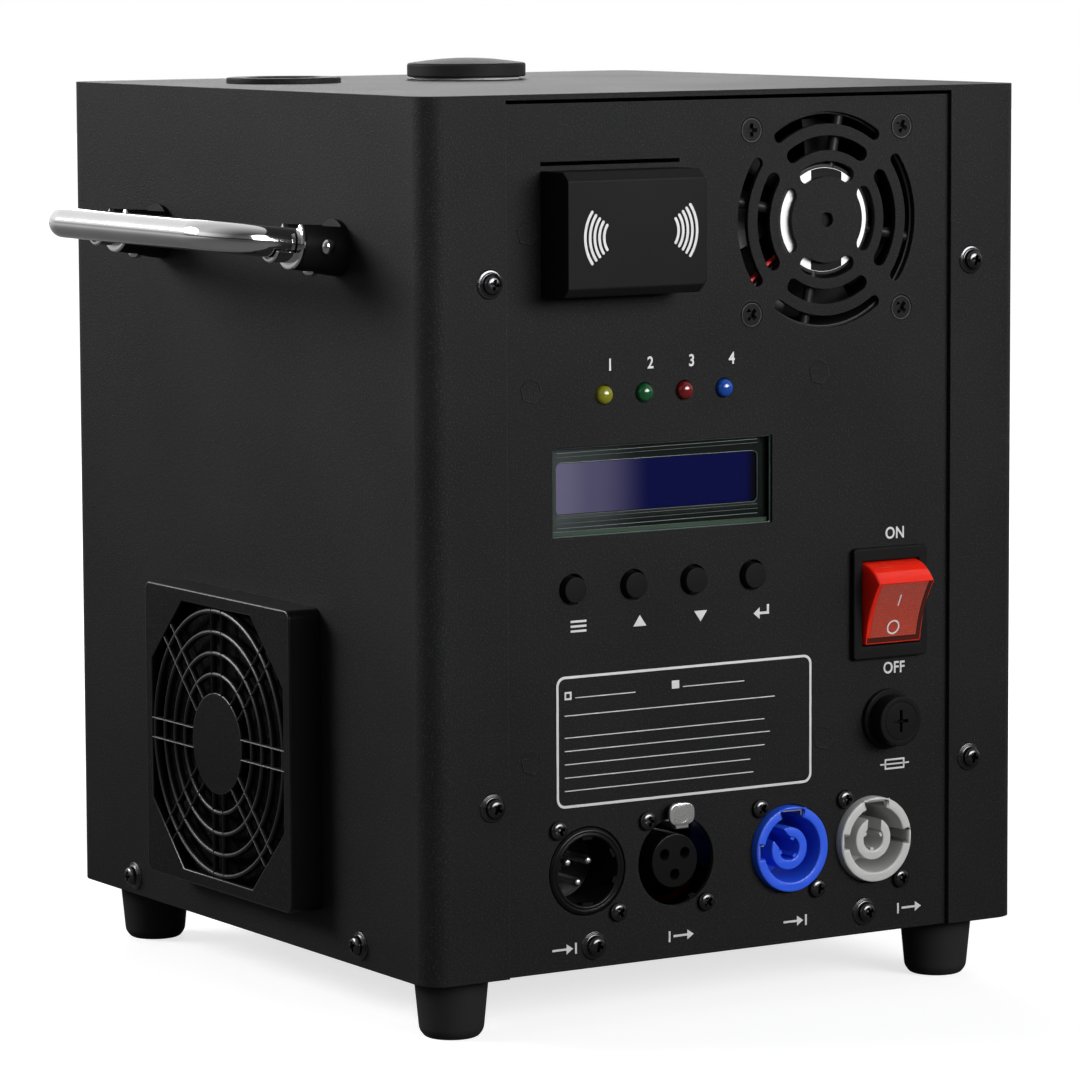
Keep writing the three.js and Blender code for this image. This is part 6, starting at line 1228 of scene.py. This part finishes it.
# Leads: stranded copper in soft sleeves, red for the live one and black for the others. They run inside the
# case from the sockets and the switch to the boards and the supply.
for name, made, points in (
        ("lead_live", wire_red,
         ((17, -72, 24), (14, -64, 22), (10, -58, 8), (4, -30, 4), (-4, -2, 6), (0, 3, 14))),
        ("lead_neutral", wire_black, ((21, -72, 24), (19, -64, 21), (15, -58, 7), (8, -30, 3.4), (4, -2, 6),
                                      (8, 3, 14))),
        ("lead_switch", wire_black,
         ((52, -72, 93), (53, -60, 86), (60, -56, 60), (62, -50, 40), (60, -44, 34),
                                     (58, -40, 32))),
        ("lead_signal", wire_black,
         ((-46, -77, 26), (-42, -66, 22), (-36, -60, 14), (-31, -52, 13), (-27, -48, 12)))):
    piece(name, sweep(bmesh.new(), smooth_path(points), 1.1, 12), made)

# Studio: a plain pale floor under two wide soft lights, one high at the left rear and one high at the right
# front, with a weak one behind. The white background is for rays from the camera and for reflections only.
FLOOR_HALF, OPEN_WAY = 6, (0.6, 0.8, 0)
SKY_BANDS = ((0.0, 0.55), (0.47, 0.5), (0.495, 0.06), (0.53, 0.05), (0.56, 0.85), (0.68, 1.0), (0.76, 0.6),
             (1.0, 0.62))


def reckoned(tree, operation, first, second):
    return node(tree, "ShaderNodeMath", None, {0: first, 1: second}, operation=operation).outputs[0]


def ranged(tree, source, low, high, to_low=0.0, to_high=1.0, **settings):
    limits = {"From Min": low, "From Max": high, "To Min": to_low, "To Max": to_high}
    return node(tree, "ShaderNodeMapRange", limits, {"Value": source}, **settings).outputs["Result"]


def mixed(tree, share, *sources):
    """A mix of two colours, each of them a grey level or what another node gives."""
    made = node(tree, "ShaderNodeMix", None, {"Factor": share}, data_type="RGBA")
    for socket, source in zip((6, 7), sources):
        if isinstance(source, float):
            made.inputs[socket].default_value = (source, source, source, 1)
        else:
            tree.links.new(source, made.inputs[socket])
    return made.outputs[2]


def floor_glow(near, far, low, high, seen_by):
    """White that grows with the distance from the object, for the rays that show the background."""
    return reckoned(floor_tree, "MULTIPLY", seen_by,
                    ranged(floor_tree, away, near, far, low, high, interpolation_type="SMOOTHSTEP"))


def softbox(name, place, target, width, height, watts, spread=180):
    lamp = bpy.data.lights.new(name, "AREA")
    lamp.shape = "RECTANGLE"
    lamp.size, lamp.size_y = width, height
    lamp.energy = watts
    lamp.spread = math.radians(spread)
    stand = linked(name, lamp)
    stand.location = place
    stand.rotation_euler = (Vector(target) - Vector(place)).to_track_quat("-Z", "Y").to_euler()


floor_mesh = bpy.data.meshes.new("floor")
floor_mesh.from_pydata([(x, y, 0) for x, y in block(0, 0, FLOOR_HALF, FLOOR_HALF)], [], [(0, 1, 2, 3)])
pale = bpy.data.materials.new("pale floor")
pale.use_nodes = True
floor_tree = pale.node_tree
floor_shader = floor_tree.nodes["Principled BSDF"].inputs
for socket, value in (("Roughness", 0.9), ("Specular IOR Level", 0.1), ("Emission Color", (1, 1, 1, 1))):
    floor_shader[socket].default_value = value
floor_place = node(floor_tree, "ShaderNodeTexCoord").outputs["Object"]
away = node(floor_tree, "ShaderNodeVectorMath", None, {0: floor_place}, operation="LENGTH").outputs["Value"]
floor_y = node(floor_tree, "ShaderNodeSeparateXYZ", None, {0: floor_place}).outputs["Y"]
ray = node(floor_tree, "ShaderNodeLightPath").outputs
bounced = reckoned(floor_tree, "MAXIMUM", ray["Is Diffuse Ray"], ray["Is Glossy Ray"])
direct = reckoned(floor_tree, "MAXIMUM", ray["Is Camera Ray"], ray["Is Transmission Ray"])
dark_front = ranged(floor_tree, floor_y, -0.9, 0.5, 0.1, 1.0)
mirrored = reckoned(floor_tree, "MULTIPLY", floor_glow(0.3, 2.4, 0.05, 0.45, ray["Is Glossy Ray"]),
                    dark_front)
total = reckoned(floor_tree, "ADD", floor_glow(0.2, 0.75, 0.72, 1.0, direct), mirrored)
floor_tree.links.new(mixed(floor_tree, bounced, 0.6, 0.12), floor_shader["Base Color"])
floor_tree.links.new(total, floor_shader["Emission Strength"])
floor_mesh.materials.append(pale)
linked("floor", floor_mesh)

world = bpy.data.worlds.new("studio")
bpy.context.scene.world = world
world.use_nodes = True
sky = world.node_tree
sky.nodes.clear()
ray = node(sky, "ShaderNodeLightPath").outputs
way = node(sky, "ShaderNodeTexCoord").outputs["Generated"]
split = node(sky, "ShaderNodeSeparateXYZ", None, {0: way}).outputs
open_share = node(sky, "ShaderNodeVectorMath", {1: OPEN_WAY}, {0: way},
                  operation="DOT_PRODUCT").outputs["Value"]
banded = ramp(sky, ranged(sky, split["Z"], -1, 1),
              [(position, (shade,) * 3) for position, shade in SKY_BANDS])
darker_front = node(sky, "ShaderNodeVectorMath", None,
                    {0: banded, "Scale": ranged(sky, split["Y"], -0.75, 0.1, 0.12)},
                    operation="SCALE").outputs[0]
without_band = mixed(sky, ranged(sky, open_share, 0.15, 1.0), darker_front, 1.0)
mirror_or_not = mixed(sky, ray["Is Glossy Ray"], 0.2, without_band)
seen = mixed(sky, reckoned(sky, "MAXIMUM", ray["Is Camera Ray"], ray["Is Transmission Ray"]),
             mirror_or_not, 1.0)
background = node(sky, "ShaderNodeBackground", None, {"Color": seen})
node(sky, "ShaderNodeOutputWorld", None, {0: background.outputs[0]})
softbox("side", (-0.95, 0.85, 0.95), at(-97, 20, 590), 1.3, 0.9, 9.5, 46)
softbox("front", (0.45, -1.35, 0.8), at(20, -100, 620), 1.3, 0.9, 9.4, 62)
softbox("back", (0.7, 1.4, 0.7), at(0, 0, 230), 0.7, 0.5, 5)

# Camera: the photograph's view, from a fit on the case, the feet, the handle and the fan's screws. The
# picture's middle lies beside the lens's axis, so the lens is shifted.
FOCAL_PX, FRAME_PX, CENTRE_X, CENTRE_Y = 5213.9, 1080, 502.07, 504.93
azimuth, elevation, roll = math.radians(-31.626), math.radians(6.160), math.radians(-0.308)
back = Vector((math.sin(azimuth) * math.cos(elevation), -math.cos(azimuth) * math.cos(elevation),
               math.sin(elevation)))
right = Vector((math.cos(azimuth), math.sin(azimuth), 0))
up = back.cross(right)
turned_right = right * math.cos(roll) + up * math.sin(roll)
turned_up = up * math.cos(roll) - right * math.sin(roll)
lens = bpy.data.cameras.new("camera")
lens.sensor_width = 36
lens.sensor_fit = "HORIZONTAL"
lens.lens = FOCAL_PX * lens.sensor_width / FRAME_PX
lens.shift_x = (FRAME_PX / 2 - CENTRE_X) / FRAME_PX
lens.shift_y = (CENTRE_Y - FRAME_PX / 2) / FRAME_PX
camera = linked("camera", lens)
turned = Matrix((turned_right, turned_up, back)).transposed().to_4x4()
camera.matrix_world = Matrix.Translation(at(-791.72, -1267.26, 275.335)) @ turned
bpy.context.scene.camera = camera
